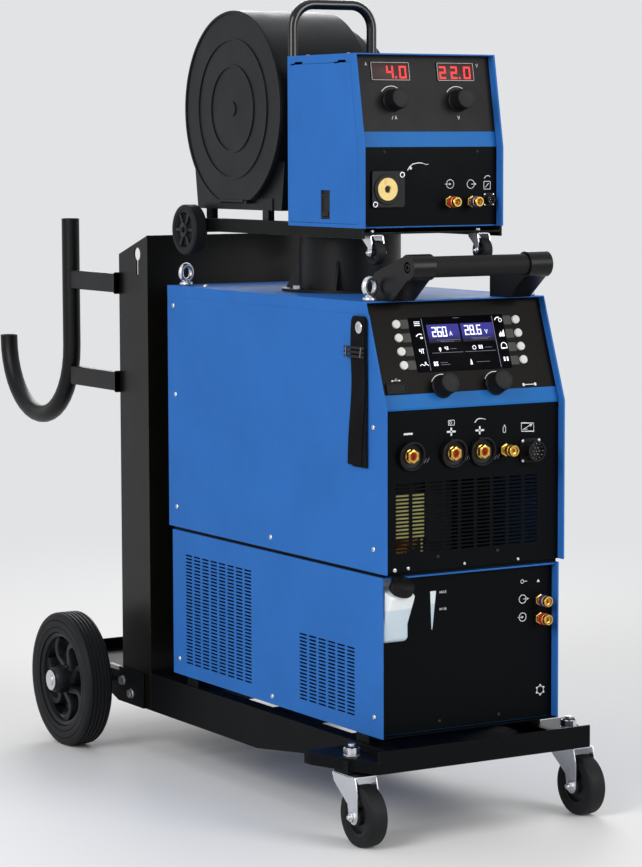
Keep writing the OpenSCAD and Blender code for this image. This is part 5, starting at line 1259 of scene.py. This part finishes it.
# ------------------------------------------------------------------ feeder couplings
# Two more brass coolant couplings with coloured bands, and a small remote-control socket, in
# holes of the front beside the torch socket.
feeder_couplings, feeder_bands = bmesh.new(), bmesh.new()
for x, slot in ((38, 1), (82, 0)):
    place = stand(x, feeder_face, 1027, FRONT)
    coupling(feeder_couplings, place, 17, 28)
    band(feeder_bands, place, 17, 12.2, 18.6, slot)
piece("feeder_quick_couplings", feeder_couplings, brass, "feeder")
piece("feeder_coolant_bands", feeder_bands, [band_blue, band_red], "feeder")
remote_body, remote_pins = bmesh.new(), bmesh.new()
remote_place = stand(117, feeder_face, 1030, FRONT)
pin_socket(remote_body, remote_pins, remote_place, 11, 16, 1, 11)
for u, v in ((-8.6, 8.6), (8.6, 8.6), (-8.6, -8.6), (8.6, -8.6)):
    pan_head(remote_pins, remote_place @ Matrix.Translation((u, v, 3)), 3.4)
piece("remote_socket", remote_body, moulded_black, "feeder")
piece("remote_socket_pins", remote_pins, bright_zinc, "feeder")

# ------------------------------------------------------------------ wire drive
# Behind the door: a cast drive plate bolted to the case with its motor, a grooved steel roll
# and a sprung pressure arm.
cast_grey = finish("cast_grey", (150, 153, 158), 0.5, grain=350, height=0.03, wear=0.3,
                   worn=(210, 212, 216), Metallic=0.7)
steel_bright = finish("steel_bright", (190, 192, 196), 0.25, grain=600, height=0.005,
                      Metallic=1.0)
arm_dark = finish("arm_dark", (58, 60, 64), 0.45, grain=500, height=0.02)
piece("drive_plate", cad_shape("wire_drive"), cast_grey, "feeder", "wire_drive",
      bevel=0.8)
piece("drive_roll", cad_shape("feed_roll"), steel_bright, "feed_roll", "feed_roll",
      bevel=0.3)
piece("drive_arm", cad_shape("pressure_arm"), arm_dark, "pressure_arm",
      "pressure_arm", bevel=0.8)

# ------------------------------------------------------------------ spool drum
# A rotomoulded drum of black plastic with stepped ends and a round lid that drops open, over a
# steel spindle. It stands on the feeder base.
drum_plastic = finish("drum_plastic", (11, 13, 17), 0.38, grain=260, height=0.05, shift=0.1,
                      gloss=0.14, wear=0.15, worn=(58, 62, 70), wear_width=1.5)
piece("spool_drum", cad_shape("drum_housing"), drum_plastic, "feeder",
      "drum_housing", bevel=2.0, smooth=30)
piece("spool_drum_lid", cad_shape("drum_lid"), drum_plastic, "drum_lid",
      "drum_lid", bevel=0.8, smooth=30)

# ------------------------------------------------------------------ wire spool
# A wound spool of solid wire: turns of coppered wire between two pressed flanges, on the
# drum's spindle.
spool_steel = finish("spool_steel", (60, 62, 66), 0.45, grain=300, height=0.02, wear=0.4,
                     worn=(150, 152, 156))
wire_copper = finish("wire_copper", (196, 120, 78), 0.3, grain=700, height=0.008, Metallic=1.0)
spool_axis = stand(-137, 560, 1184, RIGHT, (0, 1, 0))
spool_frame, winding = bmesh.new(), bmesh.new()
start, spool_r = 9.3, 150
for z0 in (start, start + 94):
    skin(spool_frame, [ring(r, z, 72) for r, z in
                       ((25.2, z0), (149.2, z0), (spool_r, z0 + 0.8), (spool_r, z0 + 3.2),
                        (149.2, z0 + 4), (25.2, z0 + 4))], spool_axis, joined=True)
skin(spool_frame, [ring(r, z, 72) for r, z in
                   ((25.2, start + 2), (95, start + 2), (95, start + 96), (25.2, start + 96))],
     spool_axis, joined=True)
turns = 40
rows = []
for k in range(turns):
    z = start + 5 + 88 * k / turns
    for part in range(4):
        a = tau * part / 4
        rows.append((129.6 + 1.1 * cos(a), z + 1.1 + 1.1 * sin(a) * -1))
rows = sorted(rows, key=lambda p: p[1])
rows = [(94, start + 4.5)] + rows + [(94, start + 93.5)]
skin(winding, [ring(r, z, 72) for r, z in rows], spool_axis, joined=True)
piece("spool_flanges", spool_frame, spool_steel, "wire_spool", "wire_spool")
piece("spool_winding", winding, wire_copper, "wire_spool", smooth=20)

# ------------------------------------------------------------------ feeder handle
# A bent steel tube, powder-coated glossy black, stands between the case and the drum with its
# legs in the base.
gloss_black = finish("gloss_black", (8, 8, 9), 0.2, grain=500, height=0.006, gloss=0.06,
                     Coat_Weight=0.5, Coat_Roughness=0.06)
feeder_tube = bmesh.new()
leg_x, tube_y, tube_low, tube_top, tube_bend = (-120.5, 36.5), 379.5, 979, 1367 - 8.6, 40
path = [(leg_x[0], tube_y, tube_low), (leg_x[0], tube_y, tube_top - tube_bend)]
path += [(leg_x[0] + tube_bend - tube_bend * cos(pi / 2 * k / 8), tube_y,
          tube_top - tube_bend + tube_bend * sin(pi / 2 * k / 8)) for k in range(1, 9)]
path += [(leg_x[1] - tube_bend + tube_bend * sin(pi / 2 * k / 8), tube_y,
          tube_top - tube_bend + tube_bend * cos(pi / 2 * k / 8)) for k in range(0, 9)]
path += [(leg_x[1], tube_y, tube_low)]
sweep(feeder_tube, path, 8.6, set_place, 20)
for x in leg_x:
    turned(feeder_tube, stand(x, tube_y, tube_low, TOP), [(8.5, 0), (11, 0), (11, 1), (9, 3.2),
                                                          (8.5, 3.6)], 24)
piece("feeder_handle_tube", feeder_tube, gloss_black, "feeder", "feeder_handle",
      smooth=50)

# ------------------------------------------------------------------ feeder wheels
# Two moulded wheels with rubber tyres on the rear axle, and two small zinc-plated swivel
# casters under the front.
tyre_rubber = finish("tyre_rubber", (20, 21, 23), 0.6, grain=320, height=0.03, shift=0.12,
                     gloss=0.1, clouds=14)
hub_plastic = finish("hub_plastic", (28, 29, 32), 0.42, grain=700, height=0.015, wear=0.2,
                     worn=(84, 86, 92))


def tyre(shape, place, d, w, bore, grooves=(), depth=1.0, count=72):
    """A solid tyre about the local z axis, centred on z = 0, with grooves round its tread."""
    r, half = d / 2, w / 2
    shoulder = w * 0.16
    rows = [(bore, -half + 1), (bore + 3, -half), (r - shoulder * 1.6, -half)]
    rows += [(r - shoulder + shoulder * sin(a), -half + shoulder - shoulder * cos(a))
             for a in (pi / 8, pi / 4, 3 * pi / 8, pi / 2)]
    for z in grooves:
        rows += [(r, z - depth * 0.9), (r - depth, z - depth * 0.6), (r - depth, z + depth * 0.6),
                 (r, z + depth * 0.9)]
    rows += [(r - shoulder + shoulder * sin(a), half - shoulder + shoulder * cos(a))
             for a in (pi / 2, 3 * pi / 8, pi / 4, pi / 8)]
    rows += [(r - shoulder * 1.6, half), (bore + 3, half), (bore, half - 1)]
    skin(shape, [ring(p, z, count) for p, z in rows], place, joined=True)


def wheel_disc(shape, place, rows, count=72, slot=0):
    """A closed turned ring from (radius, height) pairs."""
    skin(shape, [ring(r, z, count) for r, z in rows], place, slot, joined=True)


for side, word in ((-1, "left"), (1, "right")):
    wheel = bmesh.new()
    place = stand(side * 151, 693, 971, (side, 0, 0), (0, side, 0))
    tyre(wheel, place, 90, 26, 34, (-6, 0, 6), 0.8)
    wheel_disc(wheel, place, [(5.1, -13.6), (13, -13.6), (13, -9), (28, -6), (34, -11), (34, 11),
                              (32, 11.4), (29.5, 5), (13, 7), (12.6, 13.4), (11.6, 14),
                              (5.1, 14)], slot=1)
    for k in range(6):
        a = tau * k / 6
        c, s = cos(a), sin(a)
        line = [(c * r, s * r) for r in (12, 31)]
        stroke(wheel, line, 5, 11.5, place, 4, slot=1)
    piece(f"feeder_rear_wheel_{word}", wheel, [tyre_rubber, hub_plastic],
          f"feeder_wheel_{word}", f"feeder_wheel_{word}")


def fork(shape, place, d, w, trail, drop, stem, stem_h, bolt, t):
    """Caster fork about its stem: pressed cheeks under a round crown, a race, and the axle bolt.
    Local axes: x across, y towards the wheel, z down from the top of the crown."""
    half = w / 2 + 2.5
    crown = half + t
    count = 48
    skin(shape, [ring(r, z, count) for r, z in
                 ((stem / 2, -stem_h), (stem / 2, 0.1), (crown * 0.86, 0.1), (crown * 0.98, t * 0.5),
                  (crown * 0.98, t * 1.2), (crown * 0.8, t * 1.5), (crown * 0.8, t * 1.9),
                  (stem / 2, t * 1.9))], place)
    for side in (-1, 1):
        profile = [(-trail * 0.1 - d * 0.24, t), (-d * 0.2, t * 0.6), (trail + d * 0.05, t * 0.6),
                   (trail + d * 0.13, drop * 0.45), (trail + d * 0.13, drop)]
        profile += [(trail + d * 0.13 * cos(a), drop + d * 0.13 * sin(a))
                    for a in [pi * k / 8 for k in range(1, 8)]]
        profile += [(trail - d * 0.13, drop), (trail - d * 0.17, drop * 0.72),
                    (-d * 0.22, drop * 0.26)]
        x0, x1 = side * half, side * (half + t)
        skin(shape, [[(x, y, z) for y, z in profile] for x in (x0, x1)], place)
        rim = 0.9
        turn = place @ Matrix.Translation((x1, trail, drop)) @ Matrix.Rotation(
            side * pi / 2, 4, "Y")
        turned(shape, turn, [(bolt * 1.15, -0.2), (bolt * 1.15, rim), (bolt * 0.88, rim + 0.1, 6),
                             (bolt * 0.88, bolt * 0.7, 6), (bolt * 0.5, bolt * 0.8),
                             (bolt * 0.5, bolt * 1.15), (bolt * 0.4, bolt * 1.3)], 24)
    top = [(-half - t, -d * 0.24), (half + t, -d * 0.24), (half + t, trail * 0.85),
           (half, trail + d * 0.06), (-half, trail + d * 0.06), (-half - t, trail * 0.85)]
    skin(shape, [[(x, y, z) for x, y in top] for z in (t * 0.4, t * 1.4)], place)
    axle = place @ Matrix.Translation((0, trail, drop)) @ Matrix.Rotation(pi / 2, 4, "Y")
    turned(shape, axle, [(bolt / 2, -half - t), (bolt / 2, half + t)], 20)


def caster(x, y, z, d, w, trail, drop, stem, stem_h, bolt, t, fork_name, wheel_name):
    """One caster: its fork on the swivel body, and its wheel on the rolling body."""
    forks = bmesh.new()
    fork(forks, stand(x, y, z, (0, 0, -1)), d, w, trail, drop, stem, stem_h, bolt, t)
    piece(f"{fork_name}_pressing", forks, bright_zinc, fork_name, fork_name,
          bevel=0.25 * t)
    wheel = bmesh.new()
    hub = stand(x, y - trail, z - drop, RIGHT, (0, 1, 0))
    rim = d * 0.32
    tyre(wheel, hub, d, w, rim)
    wheel_disc(wheel, hub, [(bolt / 2 + 0.05, -w / 2 - 1.9), (d * 0.14, -w / 2 - 1.9),
                            (d * 0.15, -w / 2 - 1.2), (d * 0.15, -w * 0.26),
                            (rim - d * 0.05, -w * 0.2), (rim - d * 0.03, -w / 2 + 3),
                            (rim, -w / 2 + 2.2), (rim, w / 2 - 2.2), (rim - d * 0.03, w / 2 - 3),
                            (rim - d * 0.05, w * 0.2), (d * 0.15, w * 0.26),
                            (d * 0.15, w / 2 + 1.2), (d * 0.14, w / 2 + 1.9),
                            (bolt / 2 + 0.05, w / 2 + 1.9)], slot=1)
    for side in (-1, 1):
        for r in (rim + d * 0.035, rim + d * 0.09):
            z0, z1 = sorted((side * (w / 2 - 0.4), side * (w / 2 + 0.25)))
            wheel_disc(wheel, hub, [(r, z0), (r + d * 0.012, z0), (r + d * 0.01, z1),
                                    (r + d * 0.002, z1)])
    piece(f"{wheel_name}_tyre", wheel, [tyre_rubber, hub_plastic], wheel_name,
          wheel_name)


for side, word in ((-1, "left"), (1, "right")):
    caster(side * 105, 155, 975.7, 40, 16, 15, 29.7, 10, 6.3, 5, 2,
           f"feeder_fork_{word}", f"feeder_caster_{word}")

# ------------------------------------------------------------------ cart frame
# Folded steel rails, cross members, a front platform with turned-down lips and a tray for the
# bottle, welded and powder-coated black.
cart_black = finish("cart_black", (5, 6, 9), 0.46, grain=600, height=0.014, wear=0.2,
                    worn=(92, 96, 104), wear_width=1.2, Specular_IOR_Level=0.07)
piece("cart_weldment", cad_shape("cart_frame"), cart_black, "cart", "cart_frame",
      bevel=0.9)
stem_nuts = bmesh.new()
for side in (-1, 1):
    place = stand(side * 215, 41, 141, TOP)
    turned(stem_nuts, place, [(6.1, 0.1), (13.6, 0.1), (14, 0.5), (14, 2), (13.6, 2.4),
                              (11.8, 2.5, 6), (11.8, 13, 6), (10.6, 14.4, 6), (6.6, 15.6),
                              (6.1, 16)], 36)
piece("stem_nuts", stem_nuts, bright_zinc, "cart")
# Painted highlight: a thin light grey strip along the top of a bar at the left rear of the tray, where
# light catches it.
painted_highlight_strip = bmesh.new()
block(painted_highlight_strip, (-180.2, 933, 139), (-178.9, 975, 146.2))
block(painted_highlight_strip, (-180.2, 933, 145.6), (-172, 975, 146.3))
piece("tray_painted_highlight", painted_highlight_strip, key_grey, "cart", bevel=0.2)

# ------------------------------------------------------------------ rear column
# A folded and coated steel column behind the housings, with keyhole slots in its wings for the
# bottle's chain.
column_black = finish("column_black", (9, 9, 7), 0.36, grain=600, height=0.014, wear=0.4,
                      worn=(96, 96, 92), wear_width=1.2)
piece("bottle_column", cad_shape("back_column"), column_black, "cart",
      "back_column", bevel=0.9)
column_bolts = bmesh.new()
for side in (-1, 1):
    for y, z in ((917, 122), (883, 102)):
        place = stand(side * 179, y, z, (side, 0, 0), (0, side, 0))
        turned(column_bolts, place, [(9, -0.3), (9, 1.3), (8.6, 1.7), (6.9, 1.8, 6), (6.9, 6.4, 6),
                                     (6, 7.2, 6)], 24)
piece("column_bolts", column_bolts, bright_zinc, "cart")

# ------------------------------------------------------------------ cable hanger
# A bent steel tube on two welded arms, open at its top end, for the hose pack. The arms are
# bolted to the column.
hanger = bmesh.new()
hook_x, hook_y, hook_r, bend_z = -175, 1126, 142, 739
hook_path = [(hook_x, hook_y, z) for z in (983 - 0.2, 900, 820, bend_z)]
hook_path += [(hook_x, hook_y + hook_r - hook_r * cos(pi * k / 20),
               bend_z - hook_r * sin(pi * k / 20)) for k in range(1, 21)]
hook_path += [(hook_x, hook_y + 2 * hook_r, bend_z + 6)]
outer, inner = 16.85, 13.85
sides = 28


def hollow_tube(shape, points, place):
    """A tube with an open bore from end to end."""
    rings_out, rings_in = bmesh.new(), bmesh.new()
    for part, r in ((rings_out, outer), (rings_in, inner)):
        sweep(part, points, r, Matrix.Identity(4), sides)
    rows = []
    for part in (rings_out, rings_in):
        part.verts.ensure_lookup_table()
        co = [v.co.copy() for v in part.verts]
        rows.append([co[k * sides:(k + 1) * sides] for k in range(len(points))])
        part.free()
    skin(shape, rows[0] + rows[1][::-1], place, joined=True)


hollow_tube(hanger, hook_path, set_place)
arm_z = (684, 867)
for z in arm_z:
    skin(hanger, [[(x, y, v) for x, v in rounded_box(-185, z - 17.5, -165, z + 17.5, 3)]
                  for y in (925, 1112)], set_place)
for z in arm_z:
    skin(hanger, [[(hook_x + (u - hook_x) * g, y, z + (v - z) * g) for u, v in
                   rounded_box(-185, z - 17.5, -165, z + 17.5, 3)]
                  for y, g in ((925, 1.16), (928, 1.1), (931, 1.0))], set_place)
piece("cable_hanger", hanger, paint_black, "cart", "cable_hook", smooth=45,
      bevel=0.4)

# ------------------------------------------------------------------ rear wheels
# Large wheels of moulded plastic with seven bent spokes, solid grooved tyres and zinc rings on
# the axle ends.
axle = cad_shape("rear_axle")
piece("rear_axle_rod", axle, bright_zinc, "cart", "rear_axle", bevel=0.5, smooth=40)
wheel_plastic = finish("wheel_plastic", (21, 22, 26), 0.42, grain=500, height=0.02, wear=0.3,
                       worn=(84, 88, 96))


def rear_rim(shape, place, slot=1):
    """Rim, hub and bent spokes; local z points outwards and is 0 at the middle of the tyre."""
    wheel_disc(shape, place, [(80, -19), (86, -22), (88, -21), (88, 21), (86, 22), (80, 19),
                              (78, 12), (81, 4), (81, -4), (78, -12)], 96, slot)
    wheel_disc(shape, place, [(10.1, -29.8), (22, -29.8), (25, -27), (26, -18), (26, 22), (25, 30),
                              (23, 38), (20.5, 40.6), (10.1, 41)], 72, slot)
    for k in range(7):
        turn = tau * k / 7
        path = []
        for i in range(13):
            f = i / 12
            r = 22 + 60 * f
            a = turn + 0.62 * sin(pi * f * 0.9) * (1 - 0.35 * f)
            path.append((r * cos(a), r * sin(a), 0))
        rings = []
        for i, point in enumerate(path):
            f = i / 12
            before, after = Vector(path[max(i - 1, 0)]), Vector(path[min(i + 1, 12)])
            along = (after - before).normalized()
            across = Vector((-along.y, along.x, 0))
            half_w = 5.6 + 3.2 * (2 * f - 1) ** 2
            half_t = 14 - 2 * sin(pi * f)
            rings.append([tuple(Vector(point) + across * (half_w * u) + Vector((0, 0, half_t * v)))
                          for u, v in ((-1, -0.75), (-0.72, -1), (0.72, -1), (1, -0.75),
                                       (1, 0.75), (0.72, 1), (-0.72, 1), (-1, 0.75))])
        skin(shape, rings, place, slot)


for side, word in ((-1, "left"), (1, "right")):
    wheel = bmesh.new()
    place = stand(side * 258, 975, 125, (side, 0, 0), (0, side, 0))
    tyre(wheel, place, 250, 50, 88.2, (-15, -7.5, 0, 7.5, 15), 2.2, 128)
    for r in (97, 110):
        for z0, z1 in ((24.6, 25), (-25, -24.6)):
            wheel_disc(wheel, place, [(r, z0), (r + 1.6, z0), (r + 1.4, z1), (r + 0.2, z1)], 96)
    rear_rim(wheel, place)
    piece(f"cart_wheel_{word}", wheel, [tyre_rubber, wheel_plastic], f"rear_wheel_{word}",
          f"rear_wheel_{word}")

# ------------------------------------------------------------------ cart casters
# Zinc-plated swivel casters with grey-black rubber wheels, each held under a wing of the
# platform by its stem and a nut.
for side, word in ((-1, "left"), (1, "right")):
    caster(side * 215, 41, 115.7, 100, 32, 37, 65.7, 12, 45.3, 8, 2.5,
           f"caster_fork_{word}", f"caster_wheel_{word}")

# ------------------------------------------------------------------ rear of the housings
# The floor of the source, its rear sheet with a wire fan guard, and the cooler's slotted rear,
# folded from black coated sheet. The mains gland and the red switch sit on the rear sheet.
piece("housing_rear_sheets", cad_shape("chassis"), panel_black, "cart", "chassis",
      bevel=0.3)
gland_ring = bmesh.new()
place = stand(110, 735, 781, REAR, (-1, 0, 0))
turned(gland_ring, place, [(10, 0.2), (14.4, 0.2), (15, 0.8), (15, 5, 6), (13.2, 6.2, 6), (12, 8),
                           (12, 13), (10.6, 14), (7, 14), (6.8, 8)], 36)
piece("mains_gland", gland_ring, moulded_black, "cart")
switch_red = finish("switch_red", (176, 30, 30), 0.34, grain=1000, height=0.006)
piece("mains_switch_knob", cad_shape("mains_switch"), switch_red, "mains_switch",
      "mains_switch", bevel=0.8)
rear_print = bmesh.new()
place = stand(-110, 733, 781, REAR, (-1, 0, 0))
for k, a in enumerate((90, 180)):
    u, v = 31 * cos(radians(a)), 31 * sin(radians(a))
    if k:
        mark(rear_print, arc(u, v, 3, 0, 360, 16)[:-1], 0.9, place, MARK, closed=True)
    else:
        mark(rear_print, [(u, v - 3), (u, v + 3)], 0.9, place, MARK)
piece("switch_marks", rear_print, print_white, "cart")

# ------------------------------------------------------------------ inside the housings
# Choke, transformer, heat sink and board, the fans and the cooler's radiator, seen dimly
# through the slots.
fan_black = finish("fan_black", (30, 31, 34), 0.5, grain=600, height=0.01)
for name, made in (("source_fan", "source_fan_blades"), ("cooler_fan", "cooler_fan_blades")):
    piece(made, cad_shape(name), fan_black, name, name, bevel=0.6)
radiator_alu = finish("radiator_alu", (120, 125, 132), 0.42, grain=240, height=0.03, Metallic=0.8)
piece("radiator_block", cad_shape("radiator"), radiator_alu, "cart", "radiator",
      bevel=0.3)
core_dark = finish("core_dark", (52, 50, 48), 0.55, grain=300, height=0.03)
piece("source_power_unit", cad_shape("power_unit"), core_dark, "cart",
      "power_unit", bevel=0.3)
coil_amber = finish("coil_amber", (196, 138, 44), 0.3, grain=600, height=0.01, shift=0.15,
                    Coat_Weight=0.4, Coat_Roughness=0.1)
coils = bmesh.new()
for k in range(30):
    a = tau * k / 30
    c, s = cos(a), sin(a)
    loop = [(r * c, y, r * s) for r, y in
            ((43, -28), (43, 28), (40.5, 31.5), (18, 31.5), (14.6, 28), (14.6, -28), (18, -31.5),
             (40.5, -31.5))]
    sweep(coils, loop, 1.9, set_place @ Matrix.Translation((-118, 92, 480)), 8, closed=True)
piece("choke_winding", coils, coil_amber, "cart", smooth=60)
# A pale yellow card stands in front of the choke; its colour is made extra pale as painted light, for
# the light that falls on it through the front slots.
card_yellow_painted_light = finish("card_yellow_painted_light", (244, 236, 156), 0.6, grain=400, height=0.01, shift=0.1)
card = bmesh.new()
block(card, (-152, 44, 487), (-74, 45, 560))
for x in (-150, -80):
    block(card, (x, 45, 438), (x + 4, 46, 550))
piece("choke_card", card, card_yellow_painted_light, "cart")

# ------------------------------------------------------------------ tie strap
# A doubled strap of woven webbing hangs from a large bolt on the left side and passes through a
# ladder buckle.
strap_x, strap_y, strap_bolt_z = -source_half, 74, 830
strap_len, strap_rise, back_w, front_w = 244, 18, 45, 42.5
webbing, tree, output = new_material("webbing")
place = node(tree, "TexCoord").outputs["Object"]
warp = node(tree, "TexWave", {"Vector": place, "Scale": 210, "Distortion": 0.6, "Detail": 1},
            wave_type="BANDS", bands_direction="Z")
weft = node(tree, "TexWave", {"Vector": place, "Scale": 160, "Distortion": 0.4, "Detail": 1},
            wave_type="BANDS", bands_direction="Y")
weave = node(tree, "Math", {0: warp.outputs[1], 1: weft.outputs[1]}, operation="MULTIPLY")
fuzz = node(tree, "TexNoise", {"Vector": place, "Scale": 900, "Detail": 3})
relief = node(tree, "Math", {0: fuzz.outputs[0], 1: 0.4, 2: weave.outputs[0]},
              operation="MULTIPLY_ADD")
rough_weave = node(tree, "Bump", {"Height": relief.outputs[0], "Strength": 0.8,
                                  "Distance": 0.0004})
shaded = mixed(tree, weave.outputs[0], srgb(7, 7, 9), srgb(20, 20, 24))
cloudy = node(tree, "Group", {"Scale": 25, "Low": 0.75, "High": 0.95}, node_tree=uneven)
surface = node(tree, "BsdfPrincipled", {
    "Base Color": shaded, "Roughness": cloudy.outputs[0], "Normal": rough_weave.outputs[0],
    "Specular IOR Level": 0.1})
tree.links.new(surface.outputs["BSDF"], output.inputs["Surface"])


def strap_wave(t):
    return 1.3 * sin(radians(540 * t)) + 0.9 * sin(radians(200 * t))


def strap_line(side, t):
    """Distance from the side sheet and height of a layer, at a share of its length."""
    swing = side * (1.6 + 0.25 * sin(radians(300 * t)) * (t > 0.5))
    return -3.9 - strap_wave(t) * (1 - 0.3 * t) + swing, -strap_len * t + strap_rise


def ribbon(shape, rows, thickness):
    """A woven band from rows of (distance, height, rear edge, front edge), bevelled at its edges."""
    rings = []
    for x, z, y0, y1 in rows:
        half = thickness / 2
        rings.append([(strap_x + x - half, y0 + 0.5, z), (strap_x + x - half, y1 - 0.5, z),
                      (strap_x + x, y1, z), (strap_x + x + half, y1 - 0.5, z),
                      (strap_x + x + half, y0 + 0.5, z), (strap_x + x, y0, z)])
    skin(shape, rings, set_place)


steps = 60
back_rows, front_rows = [], []
for k in range(steps + 1):
    t = k / steps
    x, z = strap_line(0.5, t)
    corner = (6, 1.6, 0.3)[k] if k < 3 else 0
    edge = strap_y + back_w / 2 - corner
    back_rows.append((x, strap_bolt_z + z, strap_y - back_w / 2 + corner, edge))
    x, z = strap_line(-0.5, t * 0.99)
    drift = 13 * max(0, (t - 0.42) / 0.58) ** 1.2
    front_rows.append((x, strap_bolt_z + z, strap_y + back_w / 2 - front_w + corner + drift,
                       edge + drift))
strap_back, strap_front = bmesh.new(), bmesh.new()
ribbon(strap_back, back_rows, 1.3)
ribbon(strap_front, front_rows, 1.3)
back = piece("tie_strap_back", strap_back, webbing, "cart", "tie_strap")
front = piece("tie_strap_front", strap_front, webbing, "cart")
strap_bolt = bmesh.new()
turned(strap_bolt, stand(strap_x, strap_y - 5, strap_bolt_z, LEFT, (0, -1, 0)),
       [(6, -1), (6, 6.4), (9.2, 6.5), (9.8, 7), (9.8, 8.6), (8.8, 9.4), (6, 9.7), (4.6, 9.6, 6),
        (4.4, 7.8, 6)], 40)
piece("tie_strap_bolt", strap_bolt, bright_zinc, "cart")
buckle = bmesh.new()
on_side = stand(strap_x, strap_y, 790, LEFT, (0, -1, 0))
buckle_bars = bmesh.new()
for v, h in ((-7, 4.6), (0, 4.6), (7, 4.6)):
    skin(buckle, [[(u, y, z) for y, z in rounded_box(v - h / 2, 7.3, v + h / 2, 9.8, 1.1)]
                  for u in (-39, 22)], on_side)
for u, turn in ((-33, 0), (12, 12)):
    skin(buckle_bars, [[(p, q, z) for p, q in rounded_box(-1.4, -9, 1.4, 9, 1.2)]
                       for z in (6.9, 9.9)], on_side @ Matrix.Translation((u, 0, 0))
         @ Matrix.Rotation(radians(-turn), 4, "Z"))
piece("tie_strap_buckle", buckle, moulded_black, "cart", bevel=0.3)
piece("tie_strap_buckle_ends", buckle_bars, dark_zinc, "cart", bevel=0.5)
